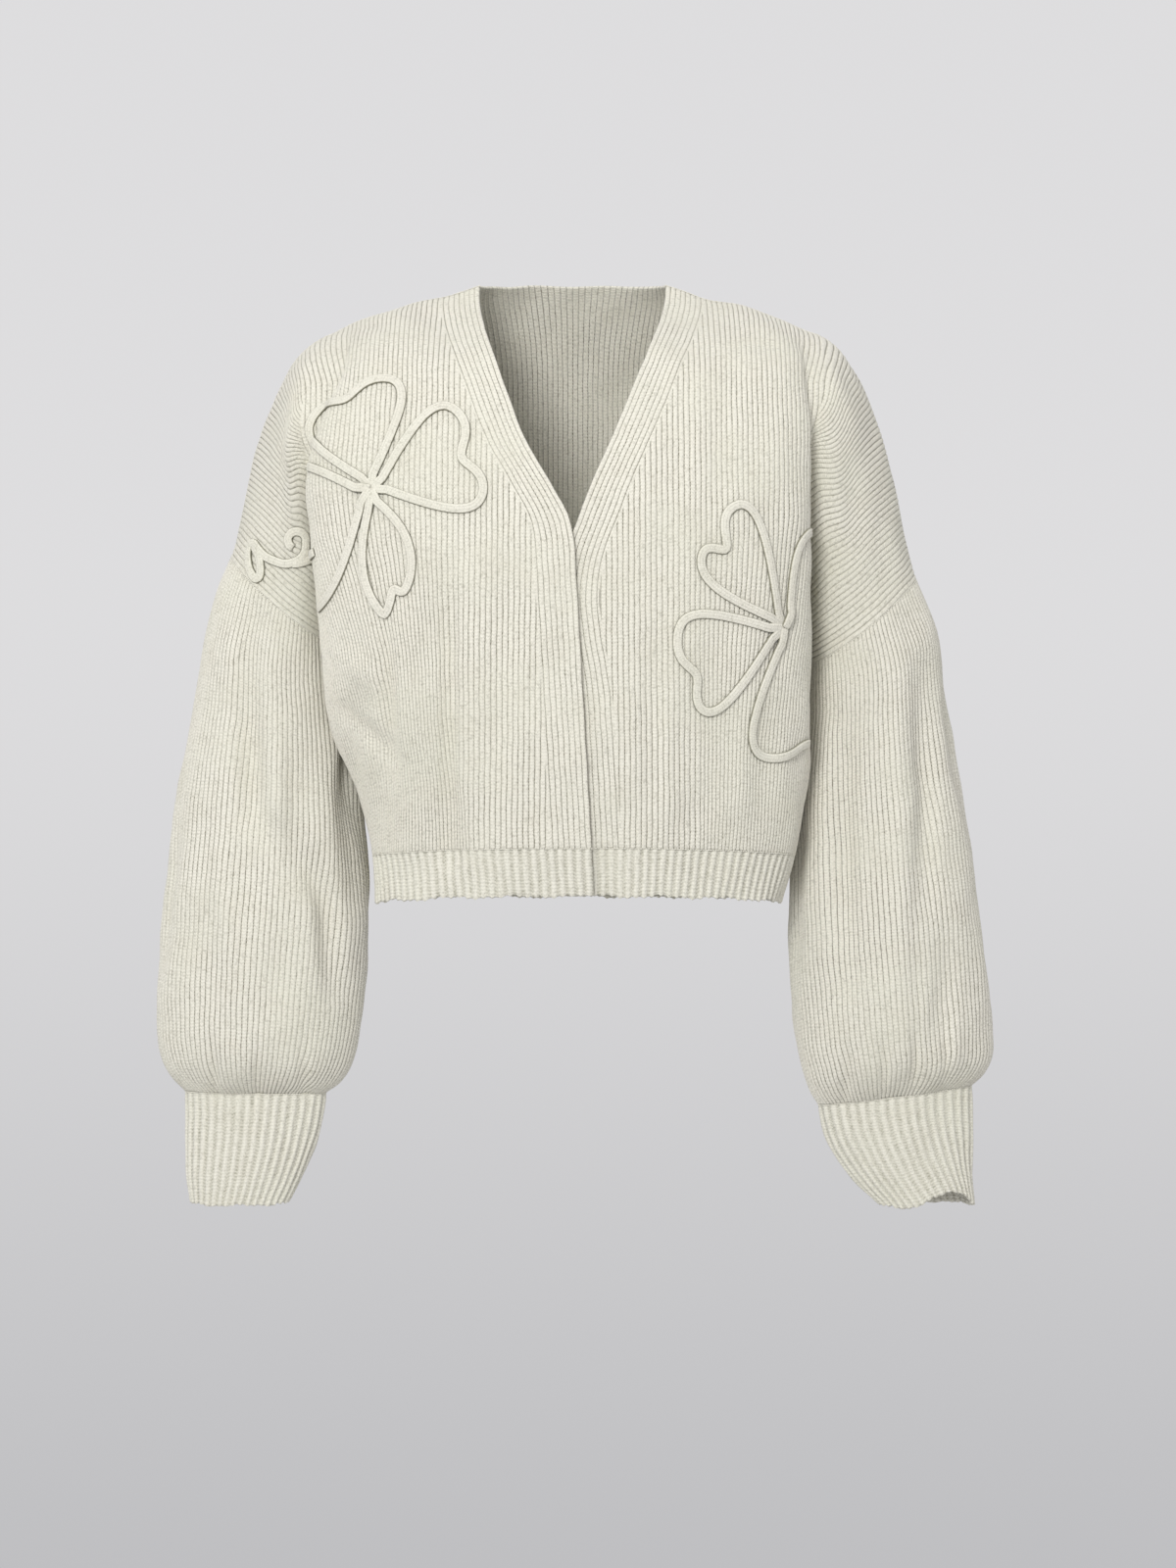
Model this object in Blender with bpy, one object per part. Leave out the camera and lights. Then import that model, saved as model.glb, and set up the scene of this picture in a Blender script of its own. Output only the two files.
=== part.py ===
"""Cropped open-front rib cardigan, worn and hanging from the shoulders, hollow inside.

Metres, +Z up, front towards -Y, the wearer's right on the -X side. The origin is midway
between the two neck points. Tables are in millimetres and are read through smooth().
"""

import math

import bmesh
import bpy
import numpy as np
from mathutils import Vector
from mathutils.bvhtree import BVHTree

MM = 0.001

# Cloth
CLOTH_THICK = 2.6 * MM
SEAM_PULL = 0.19 * MM          # each piece stops this far short of its seams
LAP_DROP = 4.8 * MM            # how far the left front lies behind the right front
LAP_REACH = 46 * MM            # over which width it comes level again
LAP_STARTS = (165 * MM, 200 * MM)   # depth below the neck points over which it drops back

# Levels below the neck points
HEM_BOTTOM = -482 * MM
HEM_TOP = -446 * MM
HEM_LIFT = 7 * MM              # the hem rises towards the centre front
HEM_LIFT_OVER = (300 * MM, 440 * MM)
HEM_LIFT_WIDE = 1.2            # in columns u of the body
CROTCH = -262 * MM             # top of the gap between body and sleeve
YOKE = -84 * MM                # from here the panels turn in to the shoulder seam

# Raised ribs of the hem band and cuffs
HEM_RIBS = {"front": 36, "back": 72}
CUFF_RIBS = 36
RIB_RAISE = 1.0 * MM

# Mesh counts
CHEST_COLUMNS = 11
WALL_COLUMNS = 4
NECK_COLUMNS = 4               # more of them on the back, under the neck edge
BODY_ROWS_LOW = 7              # hem band to crotch
BODY_ROWS_HIGH = 7             # crotch to yoke
YOKE_ROWS = 4
CAP_COLUMNS = 6
CUFF_ROWS = 3

# Shape factors of the body, the yoke and the cuffs
CHEST_ROUND = 0.85             # under 1 squares the sections a little
SIDE_LEAVE = 1.1               # how boldly the cloth turns from the widest line
SIDE_ARRIVE = {"share": 0.6, "least": 6 * MM}
YOKE_SWING = 0.8
SLEEVE_ROUND = 0.92
CUFF_FALL = 1.15
CUFF_TAPER = {"leave": 0.25, "arrive": 1.7}

# Body sections: reach is the distance out to the widest line, per side; front and back are
# the depths at the centre; the edge columns tell how far the widest line is from mid depth.
BODY = {
    "z":          (-484, -444, -400, -345, -300, -262, -235, -200, -160, -120,  -84),
    "right":      ( 152,  154,  164,  186,  191,  193,  195,  199,  202,  192,  176),
    "left":       ( 162,  173,  180,  182,  182,  182,  182,  182,  182,  182,  178),
    "front":      ( 104,  110,  117,  122,  125,  127,  128,  127,  121,  109,   95),
    "back":       (  96,  100,  104,  105,  104,  104,  104,  104,  104,  103,   98),
    "front_edge": (  30,   32,   38,   48,   55,   60,   63,   67,   71,   73,   65),
    "back_edge":  (  34,   38,   46,   55,   59,   62,   63,   65,   67,   68,   64),
}

# The line where each body section ends: side seam up to the crotch, armhole fold above.
# turn is the heading of the cloth there: 90 runs round to the other face, 0 runs outwards.
SIDE = {
    "z":       (-484, -444, -400, -345, -300, -262, -235, -200, -160, -120,  -84),
    "right":   ( 147,  146,  150,  162,  168,  172,  176,  184,  196,  207,  203),
    "left":    ( 156,  163,  166,  168,  169,  171,  172,  173,  175,  185,  194),
    "turn":    (  90,   90,   90,   90,   90,   50,   10,    0,    3,   18,   28),
}

# How far the armhole fold opens to the front and the back of mid depth above the crotch
FOLD_OPEN = {
    "z":     (-262, -235, -200, -160, -120,  -84),
    "front": (   0,   17,   40,   60,   71,   63),
    "back":  (   0,   17,   38,   54,   62,   56),
}

# Free front edge: distance from the centre towards the piece's own side
EDGE = {
    "z":     (-484, -330, -225, -209, -194, -165, -135,  -96,  -54,  -24,    0),
    "right": ( -17,   -9,   -3,   -2,    1,   16,   33,   48,   62,   70,   73),
    "left":  (   8,    0,   -7,   -2,    4,   15,   28,   44,   59,   69,   73),
}

# Shoulder seam, from the neck point out to the top of the armhole fold
RIDGE = {
    "x": ( 73, 100, 130, 160, 192),
    "y": (  8,  10,  11,  11,   9),
    "z": (  0,  -8, -15, -25, -38),
}
RIDGE_SHARE = 0.86             # share of the seam that the chest columns take
NECK_SHARE = 0.36              # share of the back that ends at the neck edge
BACK_NECK_DEPTH = 62 * MM
BACK_NECK_RISE = 8 * MM

# Drop shoulder, by place along the armhole fold from the crotch (0) to the ridge (1):
# ring is the angle where it meets the sleeve (0 outermost, 90 front, 180 underarm),
# the others are the heading in which the cloth leaves the fold.
CAP = {
    "at":   (0.0, 0.14, 0.30, 0.46, 0.62, 0.78, 0.90, 1.0),
    "ring": (180,  155,  128,  103,   78,   50,   25,   0),
    "out":  ( 16,   34,   46,   58,   80,  112,  145, 165),
    "fore": (  0,  -10,  -16,  -16,   -6,   10,    7,   0),
    "drop": (  0,    4,    6,    2,    8,   34,   66,  84),
}
CAP_ARRIVES = {"out": 50, "drop": 150, "over": 150}
SEAM_DIP = 8 * MM              # the armhole seam sags this much at the front and back
SEAM_DIP_ROWS = 3              # sleeve rings over which that fades

# Sleeve rings from the armhole seam to the cuff seam: where each crosses mid depth on its
# outer and inner side, and its half depth.
SLEEVE = {
    "right": {
        "outer_x": ( 267,  284,  293,  302,  310,  316,  321,  324,  324,  321,  314,  304),
        "outer_z": (-214, -262, -314, -360, -406, -452, -500, -545, -582, -605, -621, -631),
        "inner_x": ( 182,  178,  172,  166,  161,  159,  160,  163,  167,  173,  182,  192),
        "inner_z": (-284, -318, -352, -390, -432, -474, -514, -552, -586, -609, -624, -632),
    },
    "left": {
        "outer_x": ( 269,  286,  292,  299,  307,  314,  320,  325,  328,  328,  322,  313),
        "outer_z": (-230, -272, -318, -362, -406, -452, -500, -545, -582, -603, -617, -626),
        "inner_x": ( 181,  179,  176,  173,  171,  170,  170,  172,  175,  180,  185,  191),
        "inner_z": (-300, -334, -366, -402, -440, -480, -518, -556, -592, -616, -632, -642),
    },
    "deep":        (  56,   58,   58,   57,   56,   55,   54,   52,   49,   44,   34,   24),
}
ARM_Y = 5 * MM

# Cuffs: end ring against the seam ring. wave lifts part of the squashed left cuff's edge.
CUFF = {
    "right": {"outer_x": 299, "inner_x": 222, "z": -718, "wave": 0, "wave_at": 0},
    "left":  {"outer_x": 315, "inner_x": 239, "z": -720, "wave": 13, "wave_at": 60},
}
CUFF_WAVE_WIDE = 55            # degrees
CUFF_END_DEEP = 25 * MM

# Soft troughs hanging down the body, by distance from the centre
FOLDS = (
    {"panel": "right", "at": 92, "low": -480, "high": -200, "wide": 30, "deep": 5.0, "lean": 0.03},
    {"panel": "right", "at": 138, "low": -470, "high": -270, "wide": 22, "deep": 5.0, "lean": 0.12},
    {"panel": "left", "at": 104, "low": -470, "high": -280, "wide": 34, "deep": 4.5, "lean": 0.00},
    {"panel": "left", "at": 150, "low": -440, "high": -300, "wide": 20, "deep": 3.5, "lean": -0.05},
    {"panel": "back", "at": 62, "low": -480, "high": -230, "wide": 34, "deep": 5.0, "lean": 0.04},
    {"panel": "back", "at": 132, "low": -470, "high": -190, "wide": 26, "deep": 6.0, "lean": 0.08},
)

FOLD_STOPS = (0.85, 1.0)       # across the chest or back, in columns u
FOLD_FADES = {"top": 0.4, "foot": 0.35, "foot_over": 60 * MM}

# Applied cord
CORD_WIDE = 6.6 * MM
CORD_HIGH = 3.5 * MM
CORD_GAP = 0.35 * MM           # clear of the cloth under it
CORD_SHOULDER = {"inset": 0.12, "share": 0.75}
CORD_PROBES = (0, 0.25, 0.5, 0.75, 1)
PETAL_STEP = 6.0 * MM
CURL_STEP = 3.2 * MM
PETAL_FOOT = 5.6 * MM          # petals start this far out from the flower's middle
PETAL_OPEN = 6.4 * MM          # and their cord ends this far from where its sides would meet
FOLD_MARGIN = 1.5 * MM         # cord stops this far short of the armhole fold
SHORTEST_RUN = 8               # outline points; anything shorter is left out

# Flowers of four petals, seen from the front. Headings are in degrees from the outward
# direction, turning up. The petal spreads by so many degrees below and above its heading.
# A high blunt gives a broad heart and a low one a leaf. tilt makes the upper lobe longer,
# and notch is the dip between the lobes. Cord beyond the armhole fold is hidden: below
# fold_from, and at any height for a petal that is behind.
FLOWERS = {
    "right": {"x": 150, "z": -170, "fold_from": -142, "petals": (
        {"heading": 73, "below": 41, "above": 42, "reach": 76, "blunt": 8, "tilt": 0.13,
         "notch": 0.11, "notch_at": 0.02, "notch_wide": 0.26},
        {"heading": 160, "below": 42, "above": 41, "reach": 81, "blunt": 8, "tilt": -0.03,
         "notch": 0.18, "notch_at": 0.02, "notch_wide": 0.28},
        {"heading": 264, "below": 42, "above": 20, "reach": 89, "blunt": 1.1, "tilt": 0.00,
         "notch": 0.13, "notch_at": -0.17, "notch_wide": 0.09},
        {"heading": -23, "below": 52, "above": 51, "reach": 107, "blunt": 8, "tilt": 0.00,
         "notch": 0.12, "notch_at": 0.00, "notch_wide": 0.24, "behind": True},
    )},
    "left": {"x": 159, "z": -273, "fold_from": -100, "petals": (
        {"heading": 127, "below": 29, "above": 30, "reach": 84, "blunt": 6, "tilt": -0.20,
         "notch": 0.20, "notch_at": 0.00, "notch_wide": 0.22},
        {"heading": 203, "below": 39, "above": 36, "reach": 79, "blunt": 8, "tilt": 0.10,
         "notch": 0.13, "notch_at": 0.18, "notch_wide": 0.28},
        {"heading": 282, "below": 35, "above": 36, "reach": 91, "blunt": 8, "tilt": -0.05,
         "notch": 0.08, "notch_at": 0.00, "notch_wide": 0.24},
        {"heading": 38, "below": 48, "above": 49, "reach": 77, "blunt": 8, "tilt": 0.00,
         "notch": 0.12, "notch_at": 0.00, "notch_wide": 0.24},
    )},
}

# Curl on the right drop shoulder, seen from the front: a ring, then a tail that hooks back
CURL_RING = {"x": 213.5, "z": -204, "radius": 6.6, "from": -66, "to": 200}
CURL_TAIL = {
    "x": ( 207, 207.5,  212,  221,  230,  238,  244, 248.5, 251.5, 251.5, 248, 243),
    "z": (-207,  -213, -219, -222, -220, -216, -211,  -206,  -207,  -215, -223, -230),
}

MATERIAL_LOOKS = {
    "rib_knit": {"color": (0.72, 0.70, 0.60, 1), "roughness": 0.92},
    "rib_trim": {"color": (0.70, 0.68, 0.58, 1), "roughness": 0.92},
    "applied_cord": {"color": (0.76, 0.74, 0.64, 1), "roughness": 0.88},
}

SIGN = {"right": -1, "left": 1}


# --- reading the tables ---------------------------------------------------------------

def smooth(xs, ys, x):
    """Value at x of a smooth curve through the points (xs, ys), with xs rising."""
    xs = np.asarray(xs, float)
    ys = np.asarray(ys, float)
    x = float(np.clip(x, xs[0], xs[-1]))
    slopes = np.gradient(ys, xs)
    i = int(np.clip(np.searchsorted(xs, x) - 1, 0, len(xs) - 2))
    h = xs[i + 1] - xs[i]
    return hermite(ys[i], ys[i + 1], slopes[i] * h, slopes[i + 1] * h, (x - xs[i]) / h)


def hermite(start, end, leave, arrive, t):
    """Point at t on the curve from start to end with those end velocities."""
    return (
        start * (1 + 2 * t) * (1 - t) ** 2
        + leave * t * (1 - t) ** 2
        + end * t * t * (3 - 2 * t)
        + arrive * t * t * (t - 1)
    )


def at_height(table, column, z):
    """A column of a table of heights, as millimetres (or degrees) at z metres."""
    return smooth(table["z"], table[column], z / MM)


def hump(x, half_width):
    """A soft hump: 1 at x = 0, falling to 0 at the half width."""
    return math.cos(0.5 * math.pi * min(1.0, abs(x) / half_width)) ** 2


def ramp(x, low, high):
    """0 below low, 1 above high, eased between."""
    t = min(1.0, max(0.0, (x - low) / (high - low)))
    return t * t * (3 - 2 * t)


# --- body -----------------------------------------------------------------------------

def edge_x(side, z):
    """Front edge, as a distance towards the piece's own side."""
    return at_height(EDGE, side, z) * MM


def trough(panel, x, z):
    """How far the soft folds set the cloth in at distance x from the centre."""
    depth = 0.0
    for fold in FOLDS:
        if fold["panel"] == panel:
            low = fold["low"] * MM
            high = fold["high"] * MM
            middle = fold["at"] * MM + fold["lean"] * (z - low)
            fade = ramp(high - z, 0, FOLD_FADES["top"] * (high - low))
            foot = FOLD_FADES["foot"]
            fade *= foot + (1 - foot) * ramp(z, low, low + FOLD_FADES["foot_over"])
            depth += fold["deep"] * MM * fade * hump(x - middle, fold["wide"] * MM)
    return depth


def body_point(side, back, u, level):
    """Point of the body at a level. u is 0..1 over the chest or back, 1..2 round its side."""
    face = "back" if back else "front"
    panel = "back" if back else side
    fore = 1.0 if back else -1.0
    z = level
    if not back:
        z += HEM_LIFT * ramp(-z, *HEM_LIFT_OVER) * hump(u, HEM_LIFT_WIDE)
    reach = at_height(BODY, side, level) * MM
    flat = at_height(BODY, face, level) * MM
    edge = at_height(BODY, face + "_edge", level) * MM
    if u <= 1:
        start = 0.0 if back else edge_x(side, level)
        first = math.copysign(math.asin((abs(start) / reach) ** (1 / CHEST_ROUND)), start)
        a = first + (0.5 * math.pi - first) * u
        x = math.copysign(reach * abs(math.sin(a)) ** CHEST_ROUND, math.sin(a))
        y = edge + (flat - edge) * max(0.0, math.cos(a)) ** CHEST_ROUND
        y -= trough(panel, x, z) * (1 - ramp(u, *FOLD_STOPS))
        if panel == "left":
            past = x + edge_x("right", level)
            y -= LAP_DROP * hump(max(0.0, past), LAP_REACH) * ramp(-z, *LAP_STARTS)
        return np.array([x, fore * y, z])
    corner = np.array([reach, fore * edge, z])
    open_y = at_height(FOLD_OPEN, face, level) * MM
    end = np.array([at_height(SIDE, side, level) * MM, ARM_Y + fore * open_y, z])
    turn = math.radians(at_height(SIDE, "turn", level))
    gap = np.linalg.norm(end - corner)
    leave = np.array([0.0, -fore, 0.0]) * gap * SIDE_LEAVE
    arrive = np.array([math.cos(turn), -fore * math.sin(turn), 0.0])
    arrive *= gap * SIDE_ARRIVE["share"] + SIDE_ARRIVE["least"]
    return hermite(corner, end, leave, arrive, u - 1)


def top_point(back, u):
    """Point on the upper edge: the shoulder seam and, on the back, the neck edge as well."""
    near, far = RIDGE["x"][0], RIDGE["x"][-1]
    ridge_y = RIDGE["y"][0] * MM
    if back and u < NECK_SHARE:
        a = 0.5 * math.pi * u / NECK_SHARE
        y = ridge_y + (BACK_NECK_DEPTH - ridge_y) * math.cos(a)
        return np.array([near * MM * math.sin(a), y, BACK_NECK_RISE * math.cos(a)])
    if u <= 1:
        share = RIDGE_SHARE * ((u - NECK_SHARE) / (1 - NECK_SHARE) if back else u)
    else:
        share = RIDGE_SHARE + (1 - RIDGE_SHARE) * (u - 1)
    x = near + (far - near) * share
    return np.array([x, smooth(RIDGE["x"], RIDGE["y"], x), smooth(RIDGE["x"], RIDGE["z"], x)]) * MM


def yoke_point(side, back, u, t):
    """Between the body's top level (t = 0) and its upper edge (t = 1)."""
    low = body_point(side, back, u, YOKE)
    rise = low - body_point(side, back, u, YOKE - 10 * MM)
    rise /= np.linalg.norm(rise)
    top = top_point(back, u)
    gap = np.linalg.norm(top - low)
    over = -1.0 if back else 1.0
    steep = 1 - ramp(u, 0.1, 0.7)
    crest = np.array([0.0, over * (1 - 0.5 * steep), 0.12 + 0.6 * steep])
    if back:
        round_neck = 0.5 * math.pi * min(1.0, u / NECK_SHARE)
        crest[0] = -0.7 * math.sin(round_neck) * (1 - ramp(u, 0.9 * NECK_SHARE, 0.75))
        crest[1] = -0.5 - 0.5 * ramp(u, NECK_SHARE, 0.7)
    return hermite(low, top, rise * gap * YOKE_SWING, crest * gap * YOKE_SWING, t)


# --- drop shoulder and sleeve ---------------------------------------------------------

def ring_point(side, row, angle):
    """Point on a sleeve ring; row counts down the arm, angle 0 is outermost, 90 the front."""
    rings = SLEEVE[side]
    rows = range(len(SLEEVE["deep"]))
    outer = np.array([smooth(rows, rings["outer_x"], row), 0, smooth(rows, rings["outer_z"], row)])
    inner = np.array([smooth(rows, rings["inner_x"], row), 0, smooth(rows, rings["inner_z"], row)])
    a = math.radians(angle)
    point = ((outer + inner) / 2 + (outer - inner) / 2 * math.cos(a)) * MM
    deep = smooth(rows, SLEEVE["deep"], row) * MM
    point[1] = ARM_Y - deep * math.copysign(abs(math.sin(a)) ** SLEEVE_ROUND, math.sin(a))
    point[2] -= SEAM_DIP * math.sin(a) ** 2 * max(0.0, 1 - row / SEAM_DIP_ROWS)
    return point


def cap_point(side, back, start, climb, t):
    """From the armhole fold (t = 0) out to the armhole seam (t = 1)."""
    fore = -1.0 if back else 1.0
    end = ring_point(side, 0, fore * smooth(CAP["at"], CAP["ring"], climb))
    out, ahead, drop = (smooth(CAP["at"], CAP[name], climb) for name in ("out", "fore", "drop"))
    leave = np.array([out, fore * ahead, -drop]) * MM
    gap = np.linalg.norm(end - start)
    arrive = np.array([CAP_ARRIVES["out"], 0.0, -CAP_ARRIVES["drop"]]) * MM
    arrive *= min(1.0, gap / (CAP_ARRIVES["over"] * MM))
    return hermite(start, end, leave, arrive, t)


def ring_angles():
    """Angles round a sleeve ring that meet the ends of both caps' rows."""
    count = BODY_ROWS_HIGH + YOKE_ROWS
    front = [smooth(CAP["at"], CAP["ring"], i / count) for i in range(count, -1, -1)]
    return front + [-a for a in front[-2:0:-1]]


def cuff_point(side, t, angle):
    """Point on a cuff; t is 0 at the seam and 1 at the open end."""
    cuff = CUFF[side]
    last = len(SLEEVE["deep"]) - 1
    seam = ring_point(side, last, angle)
    a = math.radians(angle)
    middle = (cuff["outer_x"] + cuff["inner_x"]) / 2
    half = (cuff["outer_x"] - cuff["inner_x"]) / 2
    end = np.array([middle + half * math.cos(a), 0, cuff["z"]]) * MM
    end[1] = ARM_Y - CUFF_END_DEEP * math.sin(a)
    if cuff["wave"]:
        end[2] += cuff["wave"] * MM * hump((angle - cuff["wave_at"] + 180) % 360 - 180, CUFF_WAVE_WIDE)
    fall = (seam - end) * np.array([0.0, 0.0, 1.0])
    leave = np.array([CUFF_TAPER["leave"] * (end[0] - seam[0]), 0, 0]) - fall * CUFF_FALL
    arrive = (end - seam) * np.array([CUFF_TAPER["arrive"], 1, 0]) - fall
    return hermite(seam, end, leave, arrive, t)


# --- cloth as one welded surface, cut into pieces --------------------------------------

class Cloth:
    """Points shared by neighbouring pieces, so that their walls meet squarely at a seam."""

    def __init__(self):
        self.points = []
        self.index = {}
        self.faces = {}

    def point(self, position):
        key = tuple(int(round(c * 2e5)) for c in position)
        if key not in self.index:
            self.index[key] = len(self.points)
            self.points.append(np.array(position, float))
        return self.index[key]

    def add_grid(self, piece, grid, side, closed=False):
        """Rows of points as faces of a piece, turned so that they face outwards on the left."""
        mirror = np.array([SIGN[side], 1, 1])
        rows = [[self.point(p * mirror) for p in row] for row in grid]
        faces = self.faces.setdefault(piece, [])
        wide = len(rows[0])
        for low, high in zip(rows, rows[1:]):
            for i in range(wide if closed else wide - 1):
                j = (i + 1) % wide
                quad = [low[i], low[j], high[j], high[i]]
                quad = [v for n, v in enumerate(quad) if v != quad[n - 1]]
                faces.append(quad if side == "left" else quad[::-1])

    def normals(self):
        total = np.zeros((len(self.points), 3))
        for faces in self.faces.values():
            for face in faces:
                p = [self.points[i] for i in face]
                area = np.cross(p[1] - p[0], p[2] - p[0])
                if len(face) == 4:
                    area = area + np.cross(p[2] - p[0], p[3] - p[0])
                for i in face:
                    total[i] += area
        return total / np.maximum(np.linalg.norm(total, axis=1, keepdims=True), 1e-12)


def wall(outer, inner, faces):
    """Closed wall between matching outer and inner points, rims included."""
    mesh = bmesh.new()
    out = [mesh.verts.new(p) for p in outer]
    back = [mesh.verts.new(p) for p in inner]
    edges = set()
    for face in faces:
        mesh.faces.new([out[i] for i in face])
        mesh.faces.new([back[i] for i in reversed(face)])
        edges.update(zip(face, face[1:] + face[:1]))
    for i, j in edges:
        if (j, i) not in edges:
            mesh.faces.new([out[j], out[i], back[i], back[j]])
    bmesh.ops.recalc_face_normals(mesh, faces=mesh.faces)
    return mesh


def piece_wall(cloth, normals, piece):
    """A piece of the cloth with its thickness, pulled in from its seams."""
    faces = cloth.faces[piece]
    used = sorted({i for face in faces for i in face})
    local = {i: n for n, i in enumerate(used)}
    points = np.array([cloth.points[i] for i in used])
    shared = np.array([normals[i] for i in used])
    faces = [[local[i] for i in face] for face in faces]
    edges = {edge for face in faces for edge in zip(face, face[1:] + face[:1])}
    rim = {i for edge in edges if edge[::-1] not in edges for i in edge}
    inward = np.zeros_like(points)
    for face in faces:
        middle = points[face].mean(axis=0)
        for i in face:
            if i in rim:
                inward[i] += middle - points[i]
    length = np.linalg.norm(inward, axis=1, keepdims=True)
    points = points + SEAM_PULL * inward / np.maximum(length, 1e-9) * (length > 0)
    return wall(points, points - CLOTH_THICK * shared, faces)


def body_columns(back):
    chest = list(np.linspace(NECK_SHARE if back else 0, 1, CHEST_COLUMNS + 1))
    neck = list(np.linspace(0, NECK_SHARE, NECK_COLUMNS + 1)[:-1]) if back else []
    return neck + chest + list(1 + np.linspace(0, 1, WALL_COLUMNS + 1)[1:])


def body_levels():
    low = list(np.linspace(HEM_TOP, CROTCH, BODY_ROWS_LOW + 1))
    return low + list(np.linspace(CROTCH, YOKE, BODY_ROWS_HIGH + 1)[1:])


def body_grid(side, back):
    columns = body_columns(back)
    rows = [[body_point(side, back, u, z) for u in columns] for z in body_levels()]
    for t in np.linspace(0, 1, YOKE_ROWS + 1)[1:]:
        rows.append([yoke_point(side, back, u, t) for u in columns])
    return rows


def cap_grid(side, back, body):
    """The part of a panel beyond the armhole fold, one row for each body row above the crotch."""
    fold = [row[-1] for row in body[BODY_ROWS_LOW:]]
    climbs = np.linspace(0, 1, len(fold))
    steps = np.linspace(0, 1, CAP_COLUMNS + 1)
    return [[cap_point(side, back, start, c, t) for t in steps] for start, c in zip(fold, climbs)]


def flipped(grid):
    """The same points with their rows read the other way, so that faces turn over."""
    return [list(reversed(row)) for row in grid]


def make_cloth():
    cloth = Cloth()
    for side in SIGN:
        for back in (False, True):
            body = body_grid(side, back)
            cap = cap_grid(side, back, body)
            piece = "back" if back else "front_" + side
            for grid in (body, cap):
                cloth.add_grid(piece, flipped(grid) if back else grid, side)
        rows = range(len(SLEEVE["deep"]))
        rings = [[ring_point(side, row, a) for a in ring_angles()] for row in rows]
        cloth.add_grid("sleeve_" + side, rings, side, closed=True)
    return cloth


# --- ribbed bands ---------------------------------------------------------------------

def raised(points, normals, ribs_up):
    return points + normals * (RIB_RAISE * np.asarray(ribs_up))[..., None]


def grid_normals(grid, closed):
    """Normals of a grid of points, rows downwards and columns across."""
    if closed:
        across = np.roll(grid, -1, axis=1) - np.roll(grid, 1, axis=1)
    else:
        across = np.gradient(grid, axis=1)
    down = np.gradient(grid, axis=0)
    normal = np.cross(down, across)
    return normal / np.linalg.norm(normal, axis=2, keepdims=True)


def band(grid, closed):
    """Wall of a ribbed band: every second column is raised on the outside, the inside is plain."""
    grid = np.array(grid)
    rows, wide = grid.shape[:2]
    normals = grid_normals(grid, closed)
    up = np.tile(np.arange(wide) % 2, (rows, 1)).astype(float)
    up[0] *= 0.2
    outer = raised(grid, normals, up).reshape(-1, 3)
    inner = (grid - normals * (CLOTH_THICK - RIB_RAISE / 2)).reshape(-1, 3)
    faces = []
    for r in range(rows - 1):
        for i in range(wide if closed else wide - 1):
            j = (i + 1) % wide
            faces.append([r * wide + i, (r + 1) * wide + i, (r + 1) * wide + j, r * wide + j])
    return wall(outer, inner, faces)


def hem_band(side):
    """Hem rib of one front, from the front edge to the side seam."""
    us = spread_columns(side, False, 2 * HEM_RIBS["front"])
    levels = np.linspace(HEM_TOP - SEAM_PULL, HEM_BOTTOM, 3)
    grid = [[body_point(side, False, u, z) for u in us] for z in levels]
    return mirrored(trim_ends(np.array(grid)), side)


def hem_band_back():
    """Hem rib of the back, from side seam to side seam."""
    us = spread_columns("right", True, HEM_RIBS["back"])
    levels = np.linspace(HEM_TOP - SEAM_PULL, HEM_BOTTOM, 3)
    rows = []
    for z in levels:
        right = [body_point("right", True, u, z) * np.array([-1, 1, 1]) for u in us]
        left = [body_point("left", True, u, z) for u in us]
        rows.append(left[::-1] + right[1:])
    return trim_ends(np.array(rows))


def spread_columns(side, back, count):
    """Values of u that divide the hem line evenly."""
    fine = np.linspace(0, 2, 240)
    line = np.array([body_point(side, back, u, HEM_TOP) for u in fine])
    along = np.concatenate([[0], np.cumsum(np.linalg.norm(np.diff(line, axis=0), axis=1))])
    return np.interp(np.linspace(0, along[-1], count + 1), along, fine)


def trim_ends(grid):
    """Pull the first and last columns in from the side seams."""
    for end, near in ((0, 1), (-1, -2)):
        step = grid[:, near] - grid[:, end]
        grid[:, end] += SEAM_PULL * step / np.linalg.norm(step, axis=1, keepdims=True)
    return grid


def mirrored(grid, side):
    """Onto the piece's own side of the body, with columns still running left to right."""
    if side == "right":
        return (grid * np.array([-1, 1, 1]))[:, ::-1]
    return grid


def cuff_grid(side):
    wide = 2 * CUFF_RIBS
    fine = np.linspace(0, 360, 721)
    line = np.array([cuff_point(side, 0.5, a) for a in fine])
    along = np.concatenate([[0], np.cumsum(np.linalg.norm(np.diff(line, axis=0), axis=1))])
    angles = np.interp(np.linspace(0, along[-1], wide + 1)[:-1], along, fine)
    rows = np.linspace(0, 1, CUFF_ROWS + 1)
    grid = np.array([[cuff_point(side, t, a) for a in angles] for t in rows])
    step = grid[1] - grid[0]
    grid[0] += 2 * SEAM_PULL * step / np.linalg.norm(step, axis=1, keepdims=True)
    return grid[:, ::-1] if side == "left" else grid * np.array([-1, 1, 1])


# --- applied cord ---------------------------------------------------------------------

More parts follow.
